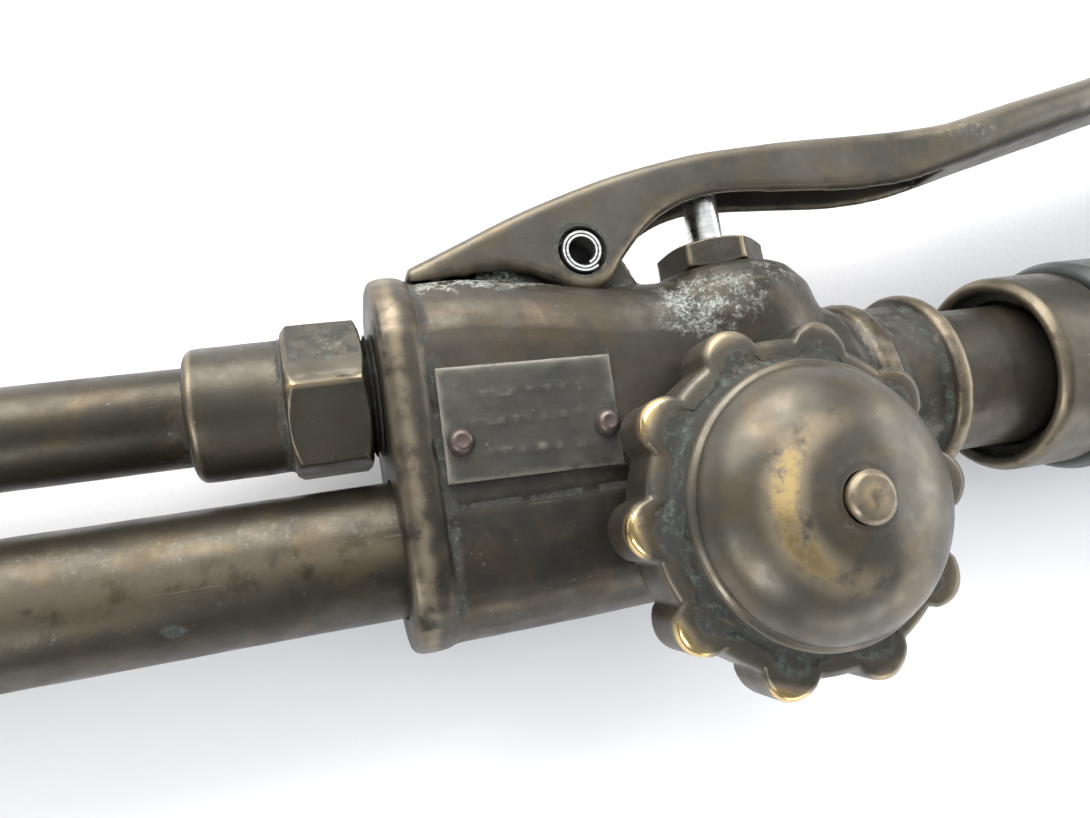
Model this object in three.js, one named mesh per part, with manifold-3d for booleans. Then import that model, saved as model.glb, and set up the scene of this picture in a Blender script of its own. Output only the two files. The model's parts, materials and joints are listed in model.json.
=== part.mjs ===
// An oxy-fuel hand torch lying on its side: valve body with a thumb lever and a preheat valve,
// parallel gas tubes to a right-angle head, and a grip that ends in the fuel valve and hose inlets.
// Millimetres. While a piece is drawn, X runs to the handle, Y to the lever and Z to the
// handwheel, with the front flange at x = 0 and the handle's axis on y = 0, z = 0.
import * as THREE from 'three'
import { mergeVertices } from 'three/addons/utils/BufferGeometryUtils.js'
import Module from 'manifold-3d'

const wasm = await Module()
wasm.setup()

// ---- Driving dimensions ----------------------------------------------------------------

const GAP = 0.3 // clearance between pieces that touch or press together
const BACK = new THREE.Vector3(1, 0, 0) // towards the handle
const UP = new THREE.Vector3(0, 1, 0) // towards the lever
const DOWN = new THREE.Vector3(0, -1, 0)
const OUT = new THREE.Vector3(0, 0, 1) // towards the handwheel

const UPPER_TUBE = { y: 6.7, radius: 5, bore: 3.5 }
const LOWER_TUBE = { y: -9.6, radius: 7, bore: 5 }
const BODY = { halfWidth: 9.5, top: 17.9, bottom: -20, corner: 8.6 }
const NECK = { radius: 8.95, end: 80 }
const PIVOT = { x: 24, y: 19.4, hole: 2.8, cheekRadius: 4.6, lugRadius: 4.6 }
const LUG_HALF = 2.6
const LEVER = { nose: 4.5, tip: 168, cheek: 1.6, web: 2, halfWidth: 4.5, palmHalfWidth: 6.2 }
const VALVE_X = 41.4
const BOSS_TOP = 16
const PLUG_FACE = -20.6
const CHAMBER_RADIUS = 5.5
const PREHEAT = { x: 36.6, y: -11.4, face: 13.2 }
const PREHEAT_WHEEL = { tip: 18.05, valley: 16, rim: 7.1, dome: 13.3, height: 16.2, lobes: 10 }
const FUEL_WHEEL = { tip: 12.9, valley: 11.5, rim: 5, dome: 9.6, height: 12, lobes: 10 }
const PLATE = { x: 13.8, y: 1.1, length: 17.9, height: 11.3, turn: -0.026, rivetY: -0.45 }
const RIVET_XS = { front: 6.5, rear: 21.4 }
const HEAD = { x: -219, radius: 13.5, socket: -211, face: -202, top: 16, shoulder: -26.7 }
const NOZZLE_NUT_FLATS = 27
const NOZZLE_TIP = -88
const GRIP = { start: 86.5, end: 190, radius: 13.7, bore: 10.2 }
const PIPE = { y: 3.9, radius: 3, bore: 2, start: 75.3, end: 204.7 }
const BLOCK = { start: 200.6, end: 224, halfHeight: 19, halfWidth: 9 }
const INLET_Y = 11
const INLET_END = 232
const HOSE_NUT_FLATS = 17
const FUEL_VALVE = { x: 212, face: -21.5 }

// ---- Materials ---------------------------------------------------------------------------

const material = (color, roughness, metalness) =>
  new THREE.MeshStandardMaterial({ color, roughness, metalness })

const patina = material(0x4d453b, 0.45, 0.8)
const wornPatina = material(0x5f5340, 0.4, 0.85)
const plateMetal = material(0x5b5750, 0.55, 0.7)
const steel = material(0xb9b8b2, 0.3, 1)
const brass = material(0xa98a4a, 0.35, 1)
const copper = material(0x8a5a41, 0.45, 0.9)
const gripPaint = material(0x3d4240, 0.5, 0.1)
const packingGrey = material(0xb8b2a2, 0.8, 0)
const sealBlack = material(0x1e1e1e, 0.8, 0)

// ---- Solids ------------------------------------------------------------------------------

function signedVolume(positions, corners) {
  const [a, b, c] = [new THREE.Vector3(), new THREE.Vector3(), new THREE.Vector3()]
  let sixfold = 0
  for (let i = 0; i < corners.length; i += 3) {
    a.fromArray(positions, 3 * corners[i])
    b.fromArray(positions, 3 * corners[i + 1])
    c.fromArray(positions, 3 * corners[i + 2])
    sixfold += a.dot(b.cross(c))
  }
  return sixfold / 6
}

// A closed geometry as a solid that can be joined and cut.
function solid(geometry) {
  const bare = geometry.clone()
  bare.deleteAttribute('normal')
  bare.deleteAttribute('uv')
  const merged = mergeVertices(bare, 1e-4)
  const positions = merged.attributes.position.array
  const all = merged.index.array
  const corners = []
  for (let i = 0; i < all.length; i += 3) {
    const [a, b, c] = all.slice(i, i + 3)
    if (a !== b && b !== c && c !== a) corners.push(a, b, c)
  }
  if (signedVolume(positions, corners) < 0) corners.reverse()
  const triVerts = Uint32Array.from(corners)
  return new wasm.Manifold(new wasm.Mesh({ numProp: 3, vertProperties: positions, triVerts }))
}

function geometryOf(body) {
  const mesh = body.getMesh()
  const geometry = new THREE.BufferGeometry()
  geometry.setAttribute('position', new THREE.BufferAttribute(mesh.vertProperties, 3))
  geometry.setIndex(new THREE.BufferAttribute(mesh.triVerts, 1))
  geometry.computeVertexNormals()
  return geometry
}

const at = (x, y, z = 0) => new THREE.Vector3(x, y, z)

// Turns a geometry drawn along +Y to point along a direction, and moves it to a place.
function aim(geometry, direction, place) {
  geometry.applyQuaternion(new THREE.Quaternion().setFromUnitVectors(UP, direction))
  return geometry.translate(place.x, place.y, place.z)
}

// A turned shape: the profile holds [radius, distance along the direction].
function turned(direction, place, profile, segments = 24) {
  const points = profile.map(([radius, along]) => new THREE.Vector2(radius, along))
  return solid(aim(new THREE.LatheGeometry(points, segments), direction, place))
}

// The closed profile of a plain ring, and that of a plain rod.
const ringOf = (inner, outer, from, to) => [
  [inner, from], [outer, from], [outer, to], [inner, to], [inner, from]]
const rodOf = (radius, from, to) => [[0, from], [radius, from], [radius, to], [0, to]]

// A hexagonal bar with its corners chamfered at both ends, turned about its axis.
function hexBar(direction, place, flats, from, to, turn = 0) {
  const corner = flats / Math.sqrt(3)
  const bar = new THREE.CylinderGeometry(corner, corner, to - from, 6)
  bar.rotateY(turn)
  bar.translate(0, (from + to) / 2, 0)
  const chamfer = 0.5 * (corner - flats / 2)
  const rounding = [
    [0, from], [corner - chamfer, from], [corner, from + chamfer],
    [corner, to - chamfer], [corner - chamfer, to], [0, to]]
  return solid(aim(bar, direction, place)).intersect(turned(direction, place, rounding, 18))
}

// A round hole between two points.
function hole(from, to, radius, sides = 8) {
  const path = to.clone().sub(from)
  const drill = new THREE.CylinderGeometry(radius, radius, path.length(), sides)
  return solid(aim(drill, path.normalize(), from.clone().add(to).multiplyScalar(0.5)))
}

// A flat outline in X and Y, pushed along Z from one level to another.
function slab(shape, from, to, curveSegments = 8) {
  const depth = to - from
  const geometry = new THREE.ExtrudeGeometry(shape, { depth, bevelEnabled: false, curveSegments })
  return solid(geometry.translate(0, 0, from))
}

// One cross-section of the casting: a rectangle with rounded corners, across X.
function section({ x, top, bottom, half, corner }) {
  const STEPS = 5
  const radius = Math.min(corner, half, (top - bottom) / 2)
  const points = []
  for (const [sideY, sideZ, start] of [[1, 1, 0], [1, -1, 1], [-1, -1, 2], [-1, 1, 3]]) {
    const centreY = sideY > 0 ? top - radius : bottom + radius
    const centreZ = sideZ * (half - radius)
    for (let i = 0; i <= STEPS; i++) {
      const angle = (start + i / STEPS) * Math.PI / 2
      points.push(at(x, centreY + radius * Math.sin(angle), centreZ + radius * Math.cos(angle)))
    }
  }
  return points
}

// A closed skin over a row of cross-sections.
function loft(sections) {
  const rings = sections.map(section)
  const count = rings[0].length
  const positions = rings.flat().flatMap((point) => point.toArray())
  const corners = []
  for (let ring = 0; ring + 1 < rings.length; ring++) {
    for (let i = 0; i < count; i++) {
      const a = ring * count + i
      const b = ring * count + (i + 1) % count
      corners.push(a, b, a + count, b, b + count, a + count)
    }
  }
  const last = (rings.length - 1) * count
  for (let i = 1; i + 1 < count; i++) {
    corners.push(0, i + 1, i, last, last + i, last + i + 1)
  }
  const geometry = new THREE.BufferGeometry()
  geometry.setAttribute('position', new THREE.Float32BufferAttribute(positions, 3))
  geometry.setIndex(corners)
  return solid(geometry)
}

const torch = new THREE.Group()

function addPiece(name, body, look) {
  const mesh = new THREE.Mesh(geometryOf(body), look)
  mesh.name = name
  torch.add(mesh)
}

// ---- Valve body --------------------------------------------------------------------------

const round = (x, radius) => ({ x, top: radius, bottom: -radius, half: radius, corner: radius })

// The flange bead swells the body's outline by this much at each distance behind its face.
const flangeBead = [[0, -0.3], [0.8, 0.7], [2.1, 0.9], [3.4, 0.7], [4.3, 0]].map(([x, swell]) => ({
  x,
  top: BODY.top + swell,
  bottom: BODY.bottom - swell / 2,
  half: BODY.halfWidth + swell,
  corner: BODY.corner + swell,
}))

// The top dips to a waist behind the lever's nose, and the rear draws in to the round spigot.
const bodyStations = [
  [10, 18, -20, 9.5], [18, 16.9, -19.9, 9.5], [26, 15.6, -19.8, 9.5], [34, 15.6, -19.5, 9.5],
  [42, 14.6, -18.6, 9.6], [48, 12.2, -16, 9.9], [52, 10.6, -12, 10.2],
].map(([x, top, bottom, half]) => ({ x, top, bottom, half, corner: BODY.corner }))

const spigot = [
  [53.6, 10.2], [54.4, 11.1], [56, 11.1], [56.8, 10.2], [62.9, 10.2],
  [63.6, 11.5], [64.8, 11.5], [65.5, NECK.radius], [NECK.end, NECK.radius],
].map(([x, radius]) => round(x, radius))

const casting = (growth) => loft([...flangeBead, ...bodyStations, ...spigot].map(
  ({ x, top, bottom, half, corner }) => ({
    x,
    top: top + growth,
    bottom: bottom - growth,
    half: half + growth,
    corner: corner + growth,
  })))

// Room for the lever's two cheeks to turn beside the lug.
function cheekRoom(side) {
  const radius = PIVOT.cheekRadius + GAP + 0.1
  const inner = at(PIVOT.x, PIVOT.y, side * LUG_HALF)
  return hole(inner, at(PIVOT.x, PIVOT.y, side * (LEVER.halfWidth + GAP)), radius, 24)
}

function leverLug() {
  const shape = new THREE.Shape()
  shape.moveTo(11.5, 10)
  shape.lineTo(11.5, 17.6)
  shape.quadraticCurveTo(13.5, 19.6, 17, 20)
  shape.absarc(PIVOT.x, PIVOT.y, PIVOT.lugRadius, Math.PI * 0.8, Math.PI * 0.08, true)
  shape.lineTo(31.4, 14)
  shape.lineTo(31.4, 10)
  return slab(shape, -LUG_HALF, LUG_HALF, 6)
}

function valveBody() {
  const plungerBoss = turned(UP, at(VALVE_X, 0), [
    [0, 0], [11.2, 0], [11.2, 9.5], [10.4, 13], [8.8, 15.2], [7.2, BOSS_TOP], [0, BOSS_TOP]], 20)
  const plugBoss = turned(UP, at(VALVE_X, 0), [
    [0, PLUG_FACE], [7.6, PLUG_FACE], [8.2, PLUG_FACE + 0.6], [8.2, -10], [0, -10]], 20)
  const preheatBoss = turned(OUT, at(PREHEAT.x, PREHEAT.y), [
    [0, 4], [8.2, 4], [8.2, PREHEAT.face - 0.6], [7.6, PREHEAT.face], [0, PREHEAT.face]], 20)
  const tubeNipple = turned(BACK, at(0, UPPER_TUBE.y), rodOf(6.5, -5, 2), 20)
  const plungerBore = turned(UP, at(VALVE_X, 0), [
    [0, PLUG_FACE - 1], [CHAMBER_RADIUS, PLUG_FACE - 1], [CHAMBER_RADIUS, -2], [4, -2], [4, 1.8],
    [2.4, 1.8], [2.4, 7.6], [5, 7.6], [5, BOSS_TOP + 1], [0, BOSS_TOP + 1]], 14)
  const needleBore = turned(OUT, at(PREHEAT.x, PREHEAT.y), [
    [0, 2], [1, 2], [1, 6.6], [3.2, 6.6], [3.2, 8.2], [4.6, 8.2],
    [4.6, PREHEAT.face + 1], [0, PREHEAT.face + 1]], 12)
  const upperPort = turned(BACK, at(0, UPPER_TUBE.y), [
    [0, -6], [4.9, -6], [4.9, -5], [3.4, -3.4], [3.4, 14], [0, 14]], 14)
  const lowerPort = turned(BACK, at(0, LOWER_TUBE.y), [
    [0, -1], [7.35, -1], [7.35, 12], [4.3, 12], [4.3, 24], [0, 24]], 20)
  const passages = [
    hole(at(12, UPPER_TUBE.y), at(VALVE_X, -0.2), 1.8, 6),
    hole(at(23, LOWER_TUBE.y), at(PREHEAT.x - 2, PREHEAT.y + 0.3, 7.4), 1.2, 6),
    hole(at(NECK.end + 1, PIPE.y), at(VALVE_X + 3, -8), 1.8, 6),
    hole(at(NECK.end + 1, -PIPE.y), at(56, -3.5, -7.2), 1.1, 6),
    hole(at(57, -3.5, -7.1), at(29, -9.6, -7.4), 1.1, 6),
    hole(at(30, -9.6, -7.4), at(16, LOWER_TUBE.y, -3.4), 1.1, 6),
  ]
  const sockets = [PIPE.y, -PIPE.y].map((y) =>
    hole(at(PIPE.start - GAP, y), at(NECK.end + 1, y), PIPE.radius + GAP, 12))
  const rivetHoles = Object.values(RIVET_XS).map((x) =>
    hole(at(x, PLATE.rivetY, 6.5), at(x, PLATE.rivetY, 12), 0.9, 6))
  const pinHole = hole(at(PIVOT.x, PIVOT.y, -5), at(PIVOT.x, PIVOT.y, 5), PIVOT.hole, 16)
  const joined = [plungerBoss, plugBoss, preheatBoss, tubeNipple, leverLug()].reduce(
    (body, extra) => body.add(extra), casting(0))
  return [plungerBore, needleBore, upperPort, lowerPort, ...passages, ...sockets, ...rivetHoles,
    pinHole, cheekRoom(1), cheekRoom(-1)].reduce((body, cut) => body.subtract(cut), joined)
}

addPiece('valve_body', valveBody(), patina)

// ---- Name plate --------------------------------------------------------------------------

function namePlate() {
  const from = BODY.halfWidth + 0.2
  const plate = new THREE.BoxGeometry(PLATE.length, PLATE.height, 0.6)
  plate.rotateZ(PLATE.turn)
  plate.translate(PLATE.x, PLATE.y, from + 0.3)
  return Object.values(RIVET_XS).reduce((body, x) => body.subtract(
    hole(at(x, PLATE.rivetY, 5), at(x, PLATE.rivetY, 15), 0.9, 6)), solid(plate))
}

addPiece('name_plate', namePlate(), plateMetal)
for (const [end, x] of Object.entries(RIVET_XS)) {
  const rivet = turned(OUT, at(x, PLATE.rivetY), [
    [0, 7], [0.6, 7], [0.6, 10.6], [1.3, 10.6], [1, 11.2], [0, 11.4]], 10)
  addPiece(`plate_rivet_${end}`, rivet, wornPatina)
}

// ---- Gas tubes ---------------------------------------------------------------------------

addPiece('upper_tube', turned(BACK, at(0, UPPER_TUBE.y),
  ringOf(UPPER_TUBE.bore, UPPER_TUBE.radius, HEAD.socket, -8.7), 20), patina)

addPiece('lower_tube', turned(BACK, at(0, LOWER_TUBE.y),
  ringOf(LOWER_TUBE.bore, LOWER_TUBE.radius, HEAD.socket, 11.7), 20), patina)

addPiece('tube_cone', turned(BACK, at(0, UPPER_TUBE.y), [
  [2.2, -14], [3.2, -14], [3.2, -8], [6.2, -8], [6.2, -6.6], [4.4, -6.6],
  [3, -4.3], [2.2, -4.3], [2.2, -14]], 14), brass)

function tubeNut() {
  const LEAN = -0.077 // a corner of the hexagon leans this far, in radians, above the Z axis
  const hex = hexBar(BACK, at(0, UPPER_TUBE.y), 14.5, -9, -1.2, LEAN)
  const skirt = turned(BACK, at(0, UPPER_TUBE.y), [
    [0, -18.3], [6.3, -18.3], [6.8, -17.8], [6.8, -8], [0, -8]], 20)
  const bore = turned(BACK, at(0, UPPER_TUBE.y), [
    [0, -19], [5.35, -19], [5.35, -8.3], [6.75, -8.3], [6.75, 0], [0, 0]], 20)
  return hex.add(skirt).subtract(bore)
}

addPiece('upper_tube_nut', tubeNut(), wornPatina)

addPiece('injector', turned(BACK, at(0, LOWER_TUBE.y), [
  [0.6, 2], [1.6, 2], [3.6, 11], [3.9, 12.5], [3.9, 14], [2.8, 14.4], [2.8, 18],
  [3.9, 18.4], [3.9, 23.6], [1.6, 23.6], [1.6, 8], [0.6, 6.5], [0.6, 2]], 10), brass)

// ---- Head and nozzles --------------------------------------------------------------------

function headBlock() {
  const drum = turned(UP, at(HEAD.x, 0), [
    [0, -33], [10.4, -33], [10.4, HEAD.shoulder], [HEAD.radius - 0.8, HEAD.shoulder],
    [HEAD.radius, HEAD.shoulder + 0.8], [HEAD.radius, 11], [10, 15], [5, HEAD.top],
    [0, HEAD.top]])
  const shank = loft([
    { x: HEAD.x, top: 13.6, bottom: -18.6, half: 9, corner: 8 },
    { x: HEAD.face - 0.8, top: 13.6, bottom: -18.6, half: 9, corner: 8 },
    { x: HEAD.face, top: 12.8, bottom: -17.8, half: 8.2, corner: 7.2 },
  ])
  const mouth = HEAD.face + 1
  const cuts = [
    hole(at(HEAD.socket - GAP, UPPER_TUBE.y), at(mouth, UPPER_TUBE.y), UPPER_TUBE.radius + GAP, 20),
    hole(at(HEAD.socket - GAP, LOWER_TUBE.y), at(mouth, LOWER_TUBE.y), LOWER_TUBE.radius + GAP, 20),
    hole(at(HEAD.x, UPPER_TUBE.y), at(HEAD.socket, UPPER_TUBE.y), 2),
    hole(at(HEAD.x, UPPER_TUBE.y + 1), at(HEAD.x, -34), 2),
    hole(at(HEAD.socket, LOWER_TUBE.y), at(HEAD.x + 4.5, -17), 1.5, 6),
    hole(at(HEAD.x + 4.6, -15), at(HEAD.x + 6.6, -34), 1.5, 6),
  ]
  return cuts.reduce((body, cut) => body.subtract(cut), drum.add(shank))
}

addPiece('head_block', headBlock(), patina)

// One pair of flats faces straight down and up while the torch lies on its side.
addPiece('nozzle_nut', hexBar(UP, at(HEAD.x, 0), NOZZLE_NUT_FLATS, -43, -27, Math.PI / 6)
  .subtract(turned(UP, at(HEAD.x, 0), [
    [0, -44], [8.4, -44], [8.4, -37], [10.75, -37], [10.75, -26], [0, -26]])), wornPatina)

addPiece('heating_nozzle', turned(UP, at(HEAD.x, 0), [
  [4.5, -33.3], [4.5, -52], [3.5, -80], [3.5, NOZZLE_TIP], [5.2, NOZZLE_TIP],
  [5.8, NOZZLE_TIP + 0.8], [8, -50], [8, -36.7], [10.3, -36.7], [10.3, -33.3], [4.5, -33.3]], 20),
copper)

addPiece('cutting_nozzle', turned(UP, at(HEAD.x, 0), [
  [1, -33.6], [1, NOZZLE_TIP + 1], [2.2, NOZZLE_TIP + 1], [2.8, -78], [3.6, -52],
  [4.1, -46], [4.1, -33.6], [1, -33.6]], 14), brass)

// ---- Lever and cutting valve -------------------------------------------------------------

// The lever's upper edge, from its nose over the pivot to the palm end.
function traceCrown(path, drop) {
  path.moveTo(LEVER.nose, 19.1 - drop)
  path.bezierCurveTo(15, 23.4 - drop, 24, 28 - drop, 40, 30.4 - drop)
  path.bezierCurveTo(54, 32 - drop, 66, 31.6 - drop, 76, 32.8 - drop)
}

function leverSide() {
  const shape = new THREE.Shape()
  traceCrown(shape, 0)
  shape.lineTo(112, 41)
  shape.bezierCurveTo(132, 45.6, 150, 46.4, LEVER.tip - 3, 45)
  shape.quadraticCurveTo(LEVER.tip, 44.6, LEVER.tip, 42.2)
  shape.quadraticCurveTo(LEVER.tip, 40.2, LEVER.tip - 3, 40.4)
  shape.bezierCurveTo(150, 41.4, 132, 40.8, 112, 36)
  shape.lineTo(72, 26.2)
  shape.bezierCurveTo(62, 23.8, 52, 25.8, 42, 25.4)
  shape.bezierCurveTo(34, 24.6, 31, 20.5, 28.2, 17.5)
  shape.absarc(PIVOT.x, PIVOT.y, PIVOT.cheekRadius, -Math.PI * 0.14, -Math.PI * 0.72, true)
  shape.quadraticCurveTo(17.5, 18.2, 12, 18.1)
  shape.lineTo(LEVER.nose, 16.6)
  return shape
}

// Seen from above, the lever widens from its cheeks to the palm end.
function leverPlan() {
  const shape = new THREE.Shape()
  const { nose, tip, halfWidth, palmHalfWidth } = LEVER
  shape.moveTo(nose - 1, halfWidth)
  shape.lineTo(62, halfWidth)
  shape.bezierCurveTo(72, halfWidth, 76, palmHalfWidth, 86, palmHalfWidth)
  shape.lineTo(tip - palmHalfWidth, palmHalfWidth)
  shape.absarc(tip - palmHalfWidth, 0, palmHalfWidth, Math.PI / 2, -Math.PI / 2, true)
  shape.lineTo(86, -palmHalfWidth)
  shape.bezierCurveTo(76, -palmHalfWidth, 72, -halfWidth, 62, -halfWidth)
  shape.lineTo(nose - 1, -halfWidth)
  return shape
}

// The hollow between the cheeks, open underneath and at the nose.
function leverChannel() {
  const shape = new THREE.Shape()
  shape.moveTo(LEVER.nose - 4, 5)
  shape.lineTo(LEVER.nose - 4, 17.5 - LEVER.web)
  traceCrown(shape, LEVER.web)
  shape.lineTo(70, 5)
  return slab(shape, -LEVER.halfWidth + LEVER.cheek, LEVER.halfWidth - LEVER.cheek)
}

function lever() {
  const plan = new THREE.ExtrudeGeometry(leverPlan(), { depth: 50, bevelEnabled: false, curveSegments: 6 })
  plan.rotateX(-Math.PI / 2)
  const pinHole = hole(at(PIVOT.x, PIVOT.y, -9), at(PIVOT.x, PIVOT.y, 9), PIVOT.hole, 16)
  // Under the nose the cheeks are shaped to sit over the body's rounded top.
  const saddle = casting(GAP).subtract(cheekRoom(1)).subtract(cheekRoom(-1))
  return slab(leverSide(), -9, 9).intersect(solid(plan)).subtract(leverChannel())
    .subtract(pinHole).subtract(saddle)
}

addPiece('lever', lever(), patina)

addPiece('lever_pin', turned(OUT, at(PIVOT.x, PIVOT.y), ringOf(1.35, 2.5, -4.7, 4.7), 16), steel)

addPiece('plunger', turned(UP, at(VALVE_X, 0), [
  [0, -10.4], [1.9, -10.4], [1.9, -8.6], [4.3, -8.6], [4.3, -7.2], [1.2, -7.2], [1.2, 1.2],
  [2.05, 1.8], [2.05, 27], [1.4, 27.9], [0, 28.2]], 12), steel)

addPiece('gland_nut', hexBar(UP, at(VALVE_X, 0), 11, BOSS_TOP + GAP, 19.6, 0.2)
  .add(turned(UP, at(VALVE_X, 0), rodOf(4.7, 10.9, 17), 14))
  .subtract(turned(UP, at(VALVE_X, 0), rodOf(2.4, 10, 21), 12)), wornPatina)

addPiece('gland_packing', turned(UP, at(VALVE_X, 0), ringOf(2.4, 4.6, 8, 10.6), 12), packingGrey)

addPiece('valve_seat', turned(UP, at(VALVE_X, 0), [
  [2.2, -5.2], [2.8, -5.2], [3.2, -4.8], [5.15, -4.8], [5.15, -2.3], [2.2, -2.3], [2.2, -5.2]],
14), brass)

addPiece('valve_disc', turned(UP, at(VALVE_X, 0), ringOf(1.5, 4.2, -6.9, -5.5), 12), sealBlack)

function valveSpring() {
  const TURNS = 4
  const WIRE = 0.45
  const COIL = 3.1
  const LOW = -18.7
  const HIGH = -9.4
  class Coil extends THREE.Curve {
    getPoint(t) {
      const angle = 2 * Math.PI * TURNS * t
      const height = THREE.MathUtils.lerp(LOW, HIGH, t)
      return at(VALVE_X + COIL * Math.cos(angle), height, COIL * Math.sin(angle))
    }
  }
  const wire = new THREE.Shape().absarc(0, 0, WIRE, 0, 2 * Math.PI, false)
  return solid(new THREE.ExtrudeGeometry(wire, {
    steps: 9 * TURNS, extrudePath: new Coil(), curveSegments: 3, bevelEnabled: false }))
}

addPiece('valve_spring', valveSpring(), steel)

addPiece('valve_plug', turned(UP, at(VALVE_X, 0), [
  [0, -21.5], [5.15, -21.5], [5.15, -15.6], [4.2, -15.6], [4.2, -19.5], [0, -19.5]], 14)
  .add(hexBar(UP, at(VALVE_X, 0), 13, -24.9, PLUG_FACE - GAP, 0.3)), wornPatina)

// ---- Needle valves -----------------------------------------------------------------------

// The lobed outline of a handwheel's rim: rounded lobes with flatter hollows between them.
function rimOutline({ tip, valley, lobes }) {
  const STEPS = 4
  const points = []
  for (let i = 0; i < lobes * STEPS; i++) {
    const angle = 2 * Math.PI * i / (lobes * STEPS)
    const wave = Math.cos(lobes * angle)
    const radius = valley + (tip - valley) * (0.5 + 0.25 * wave * (3 - wave * wave))
    points.push(new THREE.Vector2(radius * Math.cos(angle), radius * Math.sin(angle)))
  }
  return new THREE.Shape(points)
}

const HUB_START = 5.8 // the hub begins this far in front of the wheel's back plane

// A cast wheel, hollow behind, with a dome over its hub. It is drawn from its back plane.
function handwheel(direction, place, wheel) {
  const { tip, rim, dome, height } = wheel
  const BEVEL = 0.7
  const skirt = height * 0.586
  const outline = new THREE.ExtrudeGeometry(rimOutline(wheel), {
    depth: rim - 2 * BEVEL, bevelSize: BEVEL, bevelThickness: BEVEL, bevelOffset: -BEVEL,
    bevelSegments: 1 })
  outline.translate(0, 0, BEVEL)
  outline.rotateX(-Math.PI / 2)
  const bell = [[0, 1], [tip - 4, 1], [dome, rim], [dome, skirt]]
  for (let i = 1; i <= 4; i++) {
    const angle = i * Math.PI * 0.44 / 4
    bell.push([dome * Math.cos(angle), skirt + (height - skirt) * Math.sin(angle)])
  }
  bell.push([0, height])
  const wall = dome * 0.14
  const hub = [[0, -1], [dome - wall, -1], [dome - wall, skirt - 1], [dome * 0.7, height - 5],
    [3.9, height - 3.2], [3.9, HUB_START], [0, HUB_START]]
  const spindleHole = rodOf(2.3, -1, height + 1)
  return solid(aim(outline, direction, place)).add(turned(direction, place, bell))
    .subtract(turned(direction, place, hub, 20)).subtract(turned(direction, place, spindleHole, 12))
}

// A gland nut over the spindle: its hexagon stands on the boss and its shank fills the bore.
function needleGland(direction, place) {
  return hexBar(direction, place, 12, GAP, 3.8)
    .add(turned(direction, place, rodOf(4.25, -2.8, 2), 12))
    .subtract(turned(direction, place, rodOf(2.35, -4, 5), 12))
}

// A needle spindle, from its cone in the seat to the peened end over the wheel's dome.
function needleSpindle(direction, place, length) {
  return turned(direction, place, [
    [0, -7.6], [0.8, -6.6], [1.6, -5.6], [2, -5], [2, length], [2.4, length], [2.3, length + 0.5],
    [1.4, length + 0.9], [0, length + 1]], 12)
}

const WHEEL_STAND = -1.4 // a wheel's back plane, measured from the face of its boss

function addNeedleValve(prefix, direction, face, wheel) {
  const stand = face.clone().addScaledVector(direction, WHEEL_STAND)
  const spindleLength = WHEEL_STAND + wheel.height + GAP
  addPiece(`${prefix}_gland_nut`, needleGland(direction, face), wornPatina)
  addPiece(`${prefix}_packing`, turned(direction, face, ringOf(2.35, 4.2, -4.7, -3.1), 12),
    packingGrey)
  addPiece(`${prefix}_spindle`, needleSpindle(direction, face, spindleLength), brass)
  addPiece(`${prefix}_handwheel`, handwheel(direction, stand, wheel), patina)
}

addNeedleValve('preheat', OUT, at(PREHEAT.x, PREHEAT.y, PREHEAT.face), PREHEAT_WHEEL)
addNeedleValve('fuel', DOWN, at(FUEL_VALVE.x, FUEL_VALVE.face), FUEL_WHEEL)

// ---- Handle ------------------------------------------------------------------------------

// The front collar is a cup round the neck, with a spigot inside the grip.
addPiece('handle_collar', turned(BACK, at(0, 0), [
  [9.25, 79.2], [10.6, 78.6], [10.6, 77.2], [11.6, 76.6], [12.4, 77.6], [12.4, 86.2],
  [9.9, 86.2], [9.9, 93], [8.2, 93], [8.2, 80.5], [9.25, 80.5], [9.25, 79.2]]), wornPatina)

addPiece('grip', turned(BACK, at(0, 0), [
  [GRIP.bore, GRIP.start], [13, GRIP.start], [GRIP.radius, GRIP.start + 1.4],
  [GRIP.radius, GRIP.end - 1.4], [13, GRIP.end], [GRIP.bore, GRIP.end],
  [GRIP.bore, GRIP.start]], 32), gripPaint)

addPiece('rear_ferrule', turned(BACK, at(0, 0), [
  [8.2, 184], [9.9, 184], [9.9, GRIP.end + GAP], [12.4, GRIP.end + GAP], [12.4, 198.4],
  [11.6, BLOCK.start - GAP], [8.2, BLOCK.start - GAP], [8.2, 184]]), wornPatina)

addPiece('oxygen_pipe', turned(BACK, at(0, PIPE.y),
  ringOf(PIPE.bore, PIPE.radius, PIPE.start, PIPE.end), 12), copper)
addPiece('fuel_pipe', turned(BACK, at(0, -PIPE.y),
  ringOf(PIPE.bore, PIPE.radius, PIPE.start, PIPE.end), 12), copper)

// ---- Inlet block and hose fittings -------------------------------------------------------

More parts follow.
